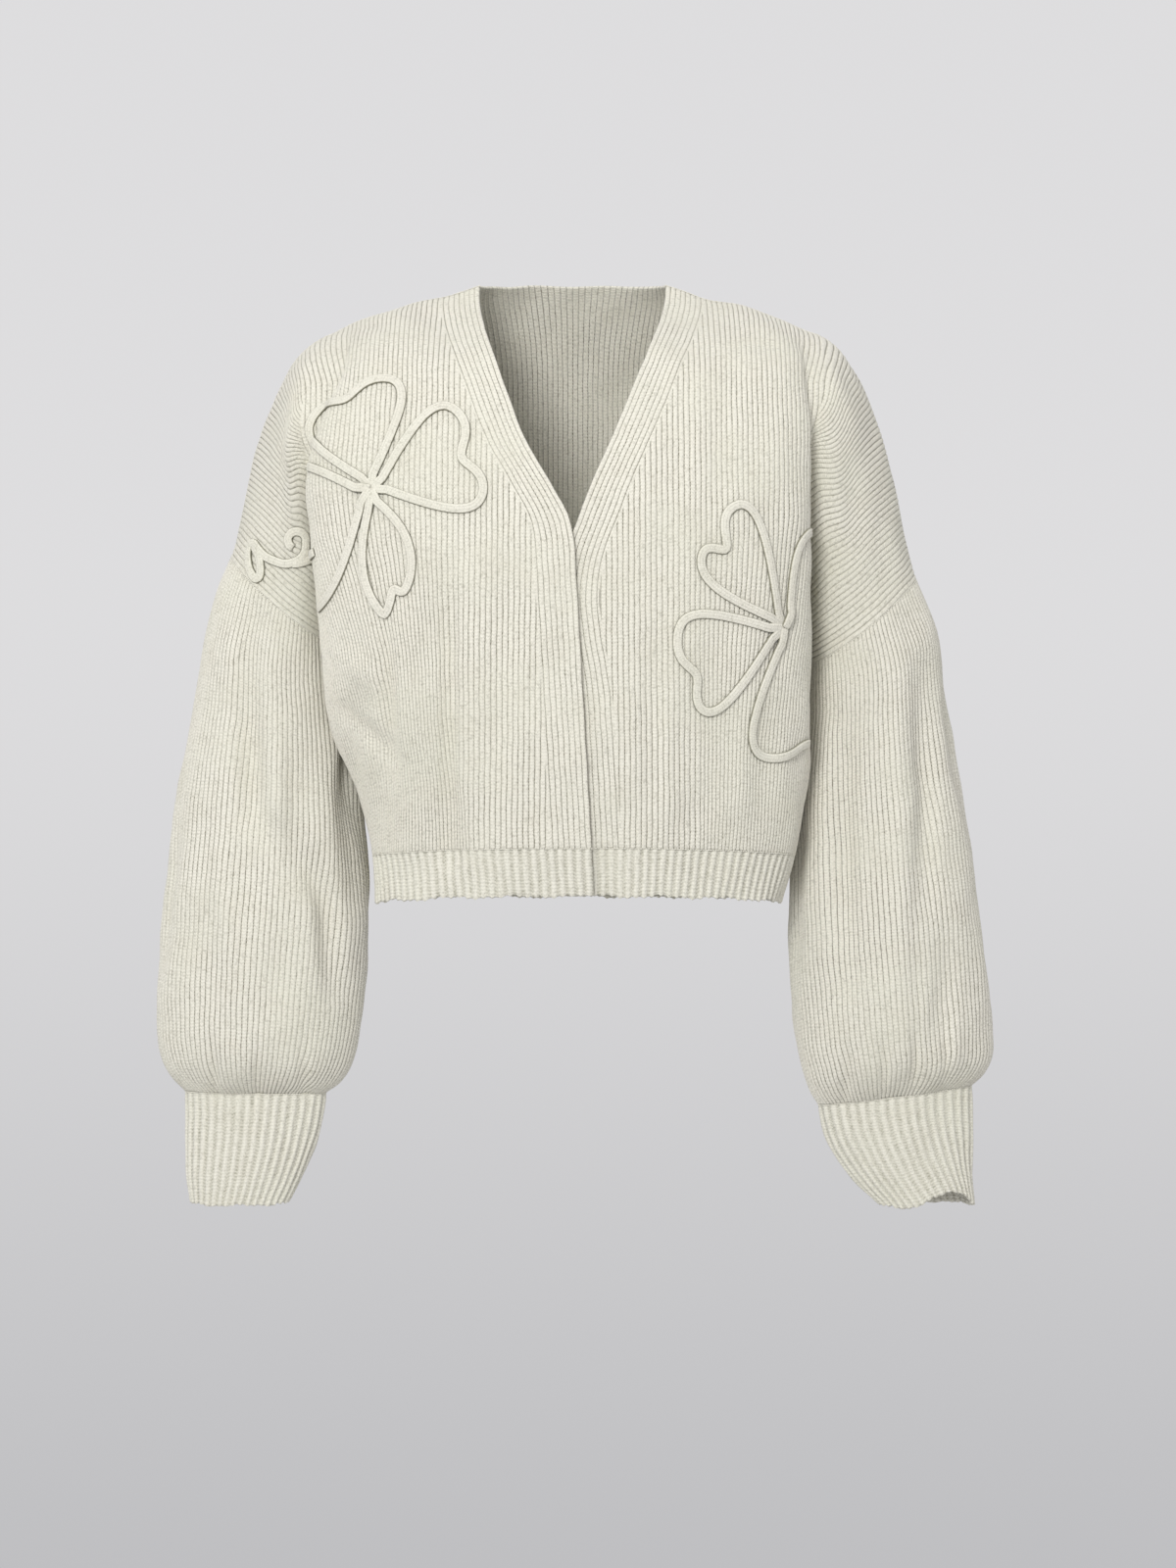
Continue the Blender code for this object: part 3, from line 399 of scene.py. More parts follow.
class Sheet:
    # Collects grids of points, with how high the ribs stand and the stitch coordinates
    def __init__(self, name):
        self.name = name
        self.points, self.rise, self.quads, self.uvs = [], [], [], []
        self.count = 0

    def add(self, grid, rise, ribs, courses, closed=False, turned=False):
        uv = np.stack(np.broadcast_arrays(ribs, courses), axis=-1)
        if closed:
            grid, rise = grid[:, :-1], rise[:, :-1]
        size = grid.shape[0] * grid.shape[1]
        index = self.count + np.arange(size).reshape(grid.shape[:2])
        if closed:
            index = np.concatenate([index, index[:, :1]], axis=1)
        near, far = slice(None, -1), slice(1, None)
        corners = ((near, near), (near, far), (far, far), (far, near))
        quads = np.stack([index[c] for c in corners], axis=-1).reshape(-1, 4)
        uvs = np.stack([uv[c] for c in corners], axis=-2).reshape(-1, 4, 2)
        if turned:
            quads, uvs = quads[:, ::-1], uvs[:, ::-1]
        self.points.append(grid.reshape(-1, 3))
        self.rise.append(rise.reshape(-1))
        self.quads.append(quads)
        self.uvs.append(uvs)
        self.count += size

    def weld(self):
        points = np.concatenate(self.points)
        key = np.round(points / (knit["weld"] * mm)).astype(np.int64)
        _, first, where = np.unique(key, axis=0, return_index=True, return_inverse=True)
        where = where.reshape(-1)
        self.co = points[first]
        self.up = np.full(len(first), 2.0)
        np.minimum.at(self.up, where, np.concatenate(self.rise))
        self.faces, self.faceUvs = [], []
        quads = where[np.concatenate(self.quads)]
        for quad, uv in zip(quads.tolist(), np.concatenate(self.uvs).tolist()):
            kept = [n for n in range(4) if quad[n] != quad[n - 1]]
            face = [quad[n] for n in kept]
            if len(face) > 2 and len(set(face)) == len(face):
                self.faces.append(face)
                self.faceUvs.append([uv[n] for n in kept])
        self.measure()
        return self

    def measure(self):
        # normals, the rim's edges, and the way in from the rim
        tris = np.array([[f[0], f[i], f[i + 1]] for f in self.faces for i in range(1, len(f) - 1)])
        a, b, c = (self.co[tris[:, n]] for n in range(3))
        cross = np.cross(b - a, c - a)
        self.normal = np.zeros_like(self.co)
        for n in range(3):
            np.add.at(self.normal, tris[:, n], cross)
        self.normal /= np.maximum(lengths(self.normal), 1e-15)
        edges = dict.fromkeys(edge for face in self.faces for edge in zip(face, face[1:] + face[:1]))
        self.rim = [(i, j) for i, j in edges if (j, i) not in edges]
        self.rimPoints = sorted({i for edge in self.rim for i in edge})
        onRim = set(self.rimPoints)
        self.inward = np.zeros_like(self.co)
        for face in self.faces:
            touching = [i for i in face if i in onRim]
            if touching:
                middle = self.co[face].mean(axis=0)
                for i in touching:
                    self.inward[i] += middle - self.co[i]
        self.inward /= np.maximum(lengths(self.inward), 1e-12)

    def build(self, ribDepth, material):
        up = np.clip(self.up, 0, 1)
        sink = np.zeros(len(self.co))
        sink[self.rimPoints] = 1.0
        base = self.co + self.inward * (knit["seamGap"] * mm * sink)[:, None]
        outer = self.lift + knit["proud"] - ribDepth * (1 - up) - sink * knit["edgeRound"] * up
        inner = self.lift - knit["thick"] - knit["innerDip"] * ribDepth * (1 - up) + sink * knit["edgeRound"]
        inner = np.minimum(inner, outer - knit["thinnest"])
        top = base + self.normal * (outer * mm)[:, None]
        under = base + self.normal * (inner * mm)[:, None]
        count = len(top)
        place = {i: uv for face, uvs in zip(self.faces, self.faceUvs) for i, uv in zip(face, uvs)}
        faces = self.faces + [[count + i for i in reversed(f)] for f in self.faces]
        uvs = self.faceUvs + [uv[::-1] for uv in self.faceUvs]
        for i, j in self.rim:
            faces.append([j, i, count + i, count + j])
            uvs.append([place[j], place[i], place[i], place[j]])
        return meshObject(self.name, np.concatenate([top, under]), faces, uvs, material)

    def surface(self):
        # the crests, for laying cord and seams on
        points = self.co + self.normal * ((knit["proud"] + self.lift) * mm)[:, None]
        return BVHTree.FromPolygons([Vector(p) for p in points], self.faces)


def linked(name, data):
    obj = bpy.data.objects.new(name, data)
    bpy.context.scene.collection.objects.link(obj)
    return obj


def countTriangles(obj):
    print(f"  {obj.name}: {sum(len(p.vertices) - 2 for p in obj.data.polygons)} triangles")


def meshObject(name, points, faces, uvs, material):
    data = bpy.data.meshes.new(name)
    data.from_pydata([tuple(p) for p in points], [], faces)
    corners = np.array([corner for face in uvs for corner in face], float)
    data.uv_layers.new(name="knit").data.foreach_set("uv", corners.reshape(-1))
    data.materials.append(material)
    data.shade_smooth()
    data.validate()
    obj = linked(name, data)
    countTriangles(obj)
    return obj


def shareNormals(sheets):
    # where two pieces meet, both stand off the seam the same way
    for sheet in sheets:
        sheet.ownNormal = sheet.normal.copy()
    for sheet in sheets:
        for other in sheets:
            if other is sheet:
                continue
            tree = KDTree(len(other.rimPoints))
            for i in other.rimPoints:
                tree.insert(other.co[i], i)
            tree.balance()
            for i in sheet.rimPoints:
                _, j, far = tree.find(sheet.co[i])
                if far < knit["seamReach"] * mm:
                    sheet.normal[i] += other.ownNormal[j]
    for sheet in sheets:
        long = lengths(sheet.normal)
        sheet.normal = np.where(long > 0.2, sheet.normal / np.maximum(long, 1e-9), sheet.ownNormal)


# Creases of the worn cloth, each a line as seen square to one face: x and z on the front and
# back, y and z on the outer sides. A ridge has a negative depth.

creases = {            # each: half width, depth, and the line's points
    "front": (
        (18, 10.4, -246, -262, -250, -340, -245, -410, -217, -458),
        (15, 9.4, -219, -425, -190, -477, -182, -552),
        (14, -4.5, -229, -335, -224, -450),
        (16, -3.8, -270, -400, -262, -560),
        (14, -4.5, 250, -283, 254, -605),
        (15, 8.8, 271, -300, 274, -400, 272, -486),
        (17, 9.9, 212, -342, 207, -440, 211, -552),
        (16, 5.5, 290, -520, 282, -600),
        (11, 6.5, -92, -228, -93, -448),
        (11, 7.2, -140, -262, -137, -385),
        (18, 3.8, -48, -250, -60, -440),
        (16, 3.8, 62, -300, 58, -446),
        (20, 3.4, 120, -60, 106, -180),
        (20, 3.4, -128, -62, -108, -150),
        (10, 5.2, -182, -332, -156, -350, -132, -376),
        (16, -3.9, -176, -296, -142, -316),
        (16, 7.8, -166, -330, -172, -400, -168, -480),
        (7, 3.5, -278, -588, -276, -634),
        (7, 2.9, -243, -596, -243, -636),
        (8, 3.5, -209, -590, -207, -634),
        (8, 3.8, 212, -594, 212, -640),
        (7, 3.2, 240, -588, 241, -630),
        (7, 3.5, 264, -584, 265, -626),
        (8, 3.2, 289, -576, 290, -618),
    ),
    "back": (
        (17, 7.4, -252, -275, -256, -350, -238, -440),
        (15, 6.7, -214, -400, -192, -470, -190, -548),
        (16, 6.7, 246, -290, 252, -400, 236, -470),
        (15, 5.8, 214, -380, 204, -470, 212, -560),
        (13, -3.2, -228, -330, -222, -450),
        (14, 4.2, -186, -232, -150, -205, -112, -196),
        (14, 3.8, 184, -240, 152, -210, 118, -203),
        (11, 3.5, -66, -240, -58, -440),
        (12, 3.5, 80, -250, 72, -442),
        (18, 2.9, 6, -60, -4, -190),
        (7, 3.5, -270, -590, -270, -632),
        (8, 3.2, -226, -592, -228, -636),
        (7, 3.5, 226, -590, 226, -636),
        (8, 3.5, 276, -582, 277, -624),
    ),
    "right": (
        (14, 5.1, 12, -285, 18, -360, 8, -430),
        (13, 4.2, -20, -410, -12, -540),
    ),
    "left": (
        (15, 4.8, -8, -300, -16, -380, -4, -450),
        (13, 4.5, 24, -420, 16, -550),
    ),
}
seenFrom = {           # the level axis of each face, and the way it faces
    "front": (0, (0, -1, 0)), "back": (0, (0, 1, 0)),
    "right": (1, (-1, 0, 0)), "left": (1, (1, 0, 0)),
}
waves = (              # the even softness between the creases
    {"long": 58, "across": 150, "high": 0.65, "turn": 12},
    {"long": 41, "across": 120, "high": 0.35, "turn": -25},
    {"long": 85, "across": 110, "high": 0.40, "turn": 70},
)
waveMix = {"p": 0.6, "q": 0.8, "bend": 1.3}
creaseShown = (0.1, 0.6)            # a crease fades where the cloth turns from its face
creaseEnds = 0.3                    # and keeps this share of its depth at its ends
sway = {"long": 34, "across": 13, "swing": 2, "slow": 3, "ahead": 0.6, "far": 0.16}   # ribs wander


def nearLine(spots, line):
    # how far each spot is from the line, and at what share of its length
    long = np.linalg.norm(np.diff(line, axis=0), axis=1)
    begin = np.concatenate([[0], np.cumsum(long)])
    far = np.full(len(spots), np.inf)
    share = np.zeros(len(spots))
    for n, (a, b) in enumerate(zip(line, line[1:])):
        t = np.clip((spots - a) @ (b - a) / long[n] ** 2, 0, 1)
        gap = np.linalg.norm(spots - a - t[:, None] * (b - a), axis=1)
        share = np.where(gap < far, (begin[n] + t * long[n]) / begin[-1], share)
        far = np.minimum(far, gap)
    return far, share


def relief(co, normal):
    # how far the worn cloth stands off its smooth form, in millimetres
    rise = np.zeros(len(co))
    for face, lines in creases.items():
        axis, ahead = seenFrom[face]
        shown = ramp(normal @ np.array(ahead, float), *creaseShown)
        for half, deep, *line in lines:
            far, share = nearLine(co[:, (axis, 2)], np.reshape(line, (-1, 2)) * mm)
            ends = creaseEnds + (1 - creaseEnds) * np.sin(np.pi * share)
            rise -= deep * shown * ends * hump(far, half * mm)
    x, y, z = co.T / mm
    for wave in waves:
        turn = math.radians(wave["turn"])
        p = x * math.cos(turn) + z * math.sin(turn) + waveMix["p"] * y
        q = z * math.cos(turn) - x * math.sin(turn) + waveMix["q"] * y
        bend = waveMix["bend"] * np.sin(2 * np.pi * q / wave["across"])
        rise += wave["high"] * np.sin(2 * np.pi * p / wave["long"] + bend)
    return rise


def swayed(co):
    x, y, z = co.T / mm
    along = 2 * np.pi * z / sway["long"]
    swing = sway["swing"] * np.sin(2 * np.pi * (x + y) / sway["across"] / sway["slow"])
    shift = np.sin(along + swing)
    return co + np.stack([shift, sway["ahead"] * shift, 0 * shift], axis=1) * (sway["far"] * mm)


# Where the ribs run on the panels. A wale is a rib's distance from the centre, along the cloth.

waleSlant = {          # how far the ribs at the side have run in under the arm, by level
    "z": (-482, -446, -400, -345, -300, -262, -200, -160, -120, -84),
    "right": (58, 64, 76, 78, 66, 42, 8, 3, 6, 7),
    "left": (54, 52, 48, 38, 26, 13, 2, 3, 5, 6),
}
slantOver = (0.45, 1.0)             # share of the chest over which they do
waleRef = {"x": 100, "wale": 104}    # this rib is upright
armholeWale = 94                     # the armhole seam lies this many ribs from the centre
seamRibs = {           # where the ribs fade away
    "fade": (110, 190),    # into the side seam, by depth under the neck
    "join": (-150, -90),   # they run on across the armhole fold above these levels
    "over": 3,
}


def alongRows(points):
    gaps = np.linalg.norm(np.diff(points, axis=1), axis=2)
    return np.concatenate([np.zeros((len(points), 1)), np.cumsum(gaps, axis=1)], axis=1)


def interpRows(wanted, known, values):
    return np.array([np.interp(w, k, f) for w, k, f in zip(wanted, known, values)])


def acrossAt(places, along):
    # u at each place along the cloth
    return interpRows(places, along, [fineU] * len(along))


def panelLevels():
    low = np.linspace(hemTop, crotch, rowsOf["low"] + 1)
    high = np.linspace(crotch, yoke, rowsOf["high"] + 1)[1:]
    upper = np.linspace(yoke, shoulder, rowsOf["top"] + 1)[1:-1]
    near = rowsOf["nearSeam"] * mm
    return np.concatenate([[hemTop, hemTop + near], low[1:], high, upper, [shoulder - near, shoulder]])


def seamFade(v):
    near = rowsOf["nearSeam"] * mm
    return ramp(v - hemTop, 0, near) * ramp(shoulder - v, 0, near)


def ribSpots(start, end, last):
    # columns at even shares of the ribs, kept between the two edges
    pitch = knit["pitch"] * mm
    step = pitch / knit["columnsPerRib"]
    columns = np.arange(math.floor(start.min() / step), last + 1) * step
    return np.clip((tucked(columns / pitch) * pitch)[None], start, end)


def panelGrids(sheet, side, back):
    v = panelLevels()
    pitch = knit["pitch"] * mm
    step = pitch / knit["columnsPerRib"]
    fade = seamFade(v)[:, None]
    courses = (v / (knit["course"] * mm))[:, None]
    turned = (side == "right") != back

    def place(points, rise, phase, rows=slice(None)):
        sheet.add(points * mirrored(side), rise, phase, courses[rows], turned=turned)

    fine = panelPoints(side, back, fineU[None], v[:, None])
    along = alongRows(fine)
    chest = slice(None, sideBegins)
    toRef = np.array([np.interp(waleRef["x"] * mm, row[chest, 0], a[chest]) for row, a in zip(fine, along)])
    refWale = waleRef["wale"] * mm
    wale = refWale + along - toRef[:, None]
    if back:
        wale = np.where(along < toRef[:, None], along * (refWale / toRef)[:, None], wale)
    slant = atHeight(waleSlant, side, v) * mm
    wale = wale + slant[:, None] * np.interp(along / along[:, sideBegins, None], slantOver, (0, 1))

    bandEdge = np.full((len(v), 1), 0.0 if back else band["wide"] * mm)
    start = interpRows(bandEdge, along, wale)
    end = wale[:, -1:]
    spots = ribSpots(start, end, math.ceil(end.max() / step))
    far = interpRows(spots, wale, along)
    u = acrossAt(far, along)
    u[spots >= end] = 2.0
    rise = flattened(ribRise(spots / pitch), fade)
    fadeFrom, fadeFull = seamRibs["fade"]
    underArm = ramp(-v, fadeFrom * mm, fadeFull * mm)[:, None]
    rise = rise * (1 - underArm * (1 - ramp(along[:, -1:] - far, 0, seamRibs["over"] * mm)))
    place(panelPoints(side, back, u, v[:, None]), rise, spots / pitch)

    if not back:
        d = np.linspace(0, band["wide"] * mm, 8 * band["columnsPerRib"] + 1)
        u = acrossAt([d] * len(v), along)
        phase = d[None] / (band["wide"] * mm) * band["ribs"]
        place(panelPoints(side, back, u, v[:, None]), flattened(ribRise(phase), fade), phase)

    upper = v >= crotch - 1e-9
    vc = v[upper]
    fineT = np.linspace(0, 1, fineSteps["cap"])
    allT = [fineT] * len(vc)
    fine = capPoints(side, back, vc[:, None], fineT[None])
    last = armholeWale * pitch
    joinFrom, joinFull = seamRibs["join"]
    join = ramp(vc, joinFrom * mm, joinFull * mm)[:, None]
    seam = capPoints(side, back, np.linspace(vc[0], vc[-1], fineSteps["seam"]), 1.0)
    nearSeam = last - np.linalg.norm(fine[:, :, None] - seam[None, None], axis=3).min(axis=2)
    foot = mixed(nearSeam[:, :1], wale[upper][:, -1:], join)
    ease = (1 - fineT[None]) ** 2
    wale = np.maximum.accumulate(nearSeam + (foot - nearSeam[:, :1]) * ease, axis=1) + 1e-7 * fineT
    spots = ribSpots(foot, last, armholeWale * knit["columnsPerRib"])
    t = interpRows(spots, wale, allT)
    t[spots <= foot] = 0.0
    t[:, -1] = 1.0
    rise = flattened(ribRise(spots / pitch), fade[upper])
    far = interpRows(t, allT, alongRows(fine))
    rise = rise * (1 - (1 - join) * (1 - ramp(far, 0, seamRibs["over"] * mm)))
    place(capPoints(side, back, vc[:, None], t), rise, spots / pitch, upper)


def panelSheet(name, parts):
    sheet = Sheet(name)
    for side, back in parts:
        panelGrids(sheet, side, back)
    return sheet.weld()


rag = {"slow": (0.8, 0.83), "quick": (0.5, 2.1), "scallop": 0.9}


def ragged(ribs, share, start):
    # the uneven, slightly scalloped lower edge of a ribbed band
    (slow, slowTurn), (quick, quickTurn) = rag["slow"], rag["quick"]
    wave = slow * np.sin(ribs * slowTurn) + quick * np.sin(ribs * quickTurn + 1)
    return (wave - rag["scallop"] * trimRise(ribs)) * ramp(share, start, 1) * mm


def tubeSheet(name, side, pointsAt, rows, ribs, columnsPerRib, riseOf, fade, ragFrom=None):
    # a tube of even ribs, each ring divided along its length
    fineAngle = np.linspace(0, 360, fineSteps["ring"])
    count = ribs * columnsPerRib
    along = alongRows(pointsAt(side, rows[:, None], fineAngle[None]))
    angles = np.array([np.interp(np.linspace(0, a[-1], count + 1), a, fineAngle) for a in along])
    points = pointsAt(side, rows[:, None], angles)
    phase = np.linspace(0, ribs, count + 1)[None]
    rise = flattened(riseOf(phase), fade[:, None])
    if ragFrom:
        points[..., 2] += ragged(phase, rows[:, None], ragFrom) * (1 - 0.5 * rise)
    down = alongRows(points.transpose(1, 0, 2))[0] / (knit["course"] * mm)
    sheet = Sheet(name)
    sheet.add(points * mirrored(side), rise, phase, -down[:, None], closed=True, turned=side == "right")
    return sheet.weld()


def sleeveSheet(side):
    last = len(sleeve["deep"]) - 1.0
    near = sleeve["nearSeam"]
    rows = np.concatenate([[0, near], np.linspace(0, last, sleeve["rows"])[1:-1], [last - near * 3, last]])
    fade = ramp(rows, 0, near) * ramp(last - rows, 0, near * 3)
    return tubeSheet(f"sleeve_{side}_knit", side, ringPoints, rows, sleeve["ribs"], knit["columnsPerRib"],
                     ribRise, fade)


def cuffSheet(side):
    near = cuff["nearSeam"]
    rows = np.concatenate([[0, near], np.linspace(0, 1, cuff["rows"])[1:-1], [1 - near, 1]])
    return tubeSheet(f"cuff_{side}_knit", side, cuffPoints, rows, cuff["ribs"], cuff["columnsPerRib"],
                     trimRise, ramp(rows, 0, near * 2), cuff["ragFrom"])


def hemSheet(name, parts):
    sheet = Sheet(name)
    near = hem["nearSeam"] * mm
    middle = np.linspace(hemTop, hemBottom, hem["rows"])[1:-1]
    v = np.concatenate([[hemTop, hemTop - near], middle, [hemBottom + near, hemBottom]])
    down = hemTop - v[:, None]
    count = hem["ribs"] * hem["columnsPerRib"]
    phase = np.linspace(0, hem["ribs"], count + 1)[None]
    ends = ramp(np.minimum(phase, hem["ribs"] - phase), 0, 2)
    for side, back in parts:
        along = alongRows(bodyPoints(side, back, fineU[None], v[:, None]))
        u = acrossAt(np.linspace(0, 1, count + 1)[None] * along[:, -1:], along)
        points = bodyPoints(side, back, u, v[:, None])
        rise = flattened(trimRise(phase), ramp(down, 0, near))
        points[..., 2] += ragged(phase, down / (hemTop - hemBottom), hem["ragFrom"]) * ends
        courses = (v / (knit["course"] * mm))[:, None]
        sheet.add(points * mirrored(side), rise, phase, courses, turned=(side == "right") == back)
    return sheet.weld()


# Node trees written as plain expressions

class Value:
    # a node's socket that adds, multiplies and so on
    def __init__(self, nodes, socket):
        self.nodes, self.socket = nodes, socket

    def math(self, operation, *values):
        return self.nodes.node("ShaderNodeMath", {"operation": operation}, values).value()

    def step(self, low, high):
        # 0 below low, 1 above high, eased between
        return self.nodes.node("ShaderNodeMapRange", {"interpolation_type": "SMOOTHSTEP"},
                               {"Value": self, "From Min": low, "From Max": high}).value()


def overload(name, operation):
    # both ways round, so that 1 - mask works
    setattr(Value, f"__{name}__", lambda self, other: self.math(operation, self, other))
    setattr(Value, f"__r{name}__", lambda self, other: self.math(operation, other, self))


def addMethod(name, operation):
    setattr(Value, name, lambda self: self.math(operation, self))


for name, operation in (("add", "ADD"), ("sub", "SUBTRACT"), ("mul", "MULTIPLY")):
    overload(name, operation)
for name, operation in (("__abs__", "ABSOLUTE"), ("fract", "FRACT"), ("floor", "FLOOR"), ("sine", "SINE")):
    addMethod(name, operation)


class Made:
    def __init__(self, nodes, node):
        self.nodes, self.node = nodes, node

    def value(self, output=0):
        known = {socket.identifier: socket for socket in self.node.outputs}
        return Value(self.nodes, known.get(output) or self.node.outputs[output])


class Nodes:
    # a tree, to which one method adds any node
    def __init__(self, tree):
        self.tree = tree

    def node(self, kind, settings=None, inputs=()):
        node = self.tree.nodes.new(kind)
        for key, value in (settings or {}).items():
            setattr(node, key, value)
        self.feed(node, inputs)
        return Made(self, node)

    def feed(self, node, inputs):
        # inputs in their order, or by identifier or name
        known = {socket.identifier: socket for socket in node.inputs}
        for key, value in inputs.items() if isinstance(inputs, dict) else enumerate(inputs):
            socket = known.get(key) or node.inputs[key]
            if isinstance(value, Value):
                self.tree.links.new(value.socket, socket)
            else:
                socket.default_value = value

    def mixColor(self, factor, a, b, blend="MIX"):
        return self.node("ShaderNodeMix", {"data_type": "RGBA", "blend_type": blend},
                         {"Factor_Float": factor, "A_Color": a, "B_Color": b}).value("Result_Color")

    def noise(self, scale, detail=2.0):
        place = self.node("ShaderNodeTexCoord").value("Object")
        sizes = {"Vector": place, "Scale": scale, "Detail": detail}
        return self.node("ShaderNodeTexNoise", None, sizes).value()

    def bump(self, strength, distance, height):
        sizes = {"Strength": strength, "Distance": distance, "Height": height}
        return self.node("ShaderNodeBump", None, sizes).value()


class Finish(Nodes):
    # a material, and what its shader is given
    def __init__(self, name):
        self.mat = bpy.data.materials.new(name)
        self.mat.use_nodes = True
        super().__init__(self.mat.node_tree)

    def done(self, inputs):
        self.feed(self.tree.nodes["Principled BSDF"], inputs)
        return self.mat


cord = {
    "wide": 7.2,
    "high": 2.3,
    "clear": 0.1,
    "step": 1.6,           # between its rings
    "over": 13,            # points over its back
    "wales": 3,
    "wale": 0.33,          # where its grooves are, as a share of its half width
    "groove": 0.20,        # how deep it dips there, as a share
    "grooveWide": 0.012,
    "boxy": 0.6,           # less is flatter on top
    "course": 1.9,
    "endNarrow": 0.25,     # it narrows by this share at its ends
    "layer": 0.75,         # each petal crosses over the one before by this much
    "layerOver": (7, 20),
}
# deep is the colour of the painted shade in the grooves and in the gaps between the rows, and the shares
# beside it say how strongly each is painted
knitLook = {
    "body": {"thread": (0.80, 0.775, 0.685, 1), "deep": (0.15, 0.14, 0.09, 1), "groove": (0.70, 0.98),
             "grooveShade": 0.95, "rowGapShade": 0.5, "stitch": 0.6, "fuzz": 0.45},
    "trim": {"thread": (0.79, 0.77, 0.68, 1), "deep": (0.22, 0.21, 0.145, 1), "groove": (0.35, 0.85),
             "grooveShade": 0.5, "rowGapShade": 0.5, "stitch": 0.7, "fuzz": 0.4},
    # the cord's sides are a band of painted shade along both its edges
    "cord": {"thread": (0.81, 0.785, 0.695, 1), "deep": (0.24, 0.23, 0.16, 1), "groove": (0.7, 1.0),
             "grooveShade": 0.25, "rowGapShade": 0.2, "stitch": 0.45, "fuzz": 0.35, "sides": (0.02, 0.30)},
}
tints = {              # where each noise begins and ends, how strong its tint is, and the tint
    "cloudy": (0.35, 0.7, 0.6, (0.93, 0.945, 0.91, 1)),
    "mottled": (0.4, 0.7, 0.5, (0.95, 0.94, 0.925, 1)),
    "fibre": (0.3, 0.75, 0.5, (0.90, 0.895, 0.87, 1)),
}


def knitMaterial(name, look):
    knitted = Finish(name)
    uv = knitted.node("ShaderNodeUVMap", {"uv_map": "knit"}).value()
    split = knitted.node("ShaderNodeSeparateXYZ", None, [uv])
    ribs, courses = split.value(0), split.value(1)
    wander, irregular, speckle = (knitted.noise(scale) for scale in (90.0, 260.0, 480.0))
    fibre, cloudy, mottled = knitted.noise(1500.0), knitted.noise(14.0, 3.0), knitted.noise(45.0, 3.0)
    luck = knitted.node("ShaderNodeTexWhiteNoise", {"noise_dimensions": "1D"}, {"W": ribs.floor()}).value()
    out = abs((ribs + wander * 0.10 - 0.05).fract() * 2 - 1)      # 0 on the rib, 1 in the groove
    groove = out.step(*look["groove"])
    courses = courses + luck                                      # no rib's stitches line up with the next
    row = (courses + wander * 0.5).fract()
    hole = (abs(row * 2 - 1)).step(0.25, 0.9)                     # the gap between two rows
    legs = ((courses - out * 0.45) * (2 * math.pi)).sine() * 0.5 + 0.5      # slanting halves of each stitch
    parting = out.step(0.0, 0.22)
    stitch = legs * (parting * 0.6 + 0.4) * (1 - groove)

    strong = (irregular * 0.9 + 0.5) * (1.1 - cloudy.step(0.38, 0.62) * 0.5)
    # painted shade: the grooves, and in them the gaps between rows, darkened towards the deep colour,
    # unevenly
    shadeAndSpeckle = groove * look["grooveShade"] * (1 - look["rowGapShade"] + hole * look["rowGapShade"]) * strong
    # painted shade between the slanting halves of each stitch, and a random darker speckle
    shadeAndSpeckle = shadeAndSpeckle + (1 - legs) * (1 - groove) * 0.12 + speckle.step(0.48, 0.72) * 0.23
    if "sides" in look:
        low, high = look["sides"]                                 # painted shade where the cord meets the cloth
        shadeAndSpeckle = shadeAndSpeckle + (1 - ribs.step(low, high) + ribs.step(cord["wales"] - high, cord["wales"] - low)) * 0.8
    # from the thread's own colour to the painted shade colour
    color = knitted.mixColor(shadeAndSpeckle, look["thread"], look["deep"])
    for clouds, tint in ((cloudy, "cloudy"), (mottled, "mottled"), (fibre, "fibre")):
        begin, full, strength, shade = tints[tint]
        color = knitted.mixColor(clouds.step(begin, full) * strength, color, shade, "MULTIPLY")
    height = stitch * look["stitch"] + fibre * look["fuzz"] - groove * hole * 0.6
    return knitted.done({"Base Color": color, "Normal": knitted.bump(0.6, 0.0008, height),
                         "Roughness": fibre * 0.12 + 0.86, "Sheen Weight": 0.18, "Sheen Roughness": 0.5,
                         "Specular IOR Level": 0.25})


bodyKnit = knitMaterial("bodyKnit", knitLook["body"])
trimKnit = knitMaterial("trimKnit", knitLook["trim"])
cordKnit = knitMaterial("cordKnit", knitLook["cord"])

backHalves = [(side, True) for side in sides]
sheets = {f"front_{side}": panelSheet(f"front_{side}_knit", [(side, False)]) for side in sides}
sheets["back"] = panelSheet("back_knit", backHalves)
sheets.update({f"sleeve_{side}": sleeveSheet(side) for side in sides})
sheets.update({f"cuff_{side}": cuffSheet(side) for side in sides})
for side in sides:
    sheets[f"hem_rib_front_{side}"] = hemSheet(f"hem_front_{side}_knit", [(side, False)])
sheets["hem_rib_back"] = hemSheet("hem_back_knit", backHalves)
print("surfaces laid out")
shareNormals(list(sheets.values()))
for sheet in sheets.values():
    sheet.lift = relief(sheet.co, sheet.normal)
    sheet.co = swayed(sheet.co)

for node, sheet in sheets.items():
    kind = node.split("_")[0]
    trim = {"cuff": cuff, "hem": hem}.get(kind)
    piece = sheet.build((trim or knit)["ribDepth"], trimKnit if trim else bodyKnit)
    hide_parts(node)
    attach(piece, "root")
print("knit built")


# Linking stitches over the seams, one small bead for each, by Geometry Nodes

stitch = {"spacing": 2.0, "long": 2.1, "wide": 1.0, "high": 0.7, "sunk": 0.35, "uneven": 0.15, "seed": 4}


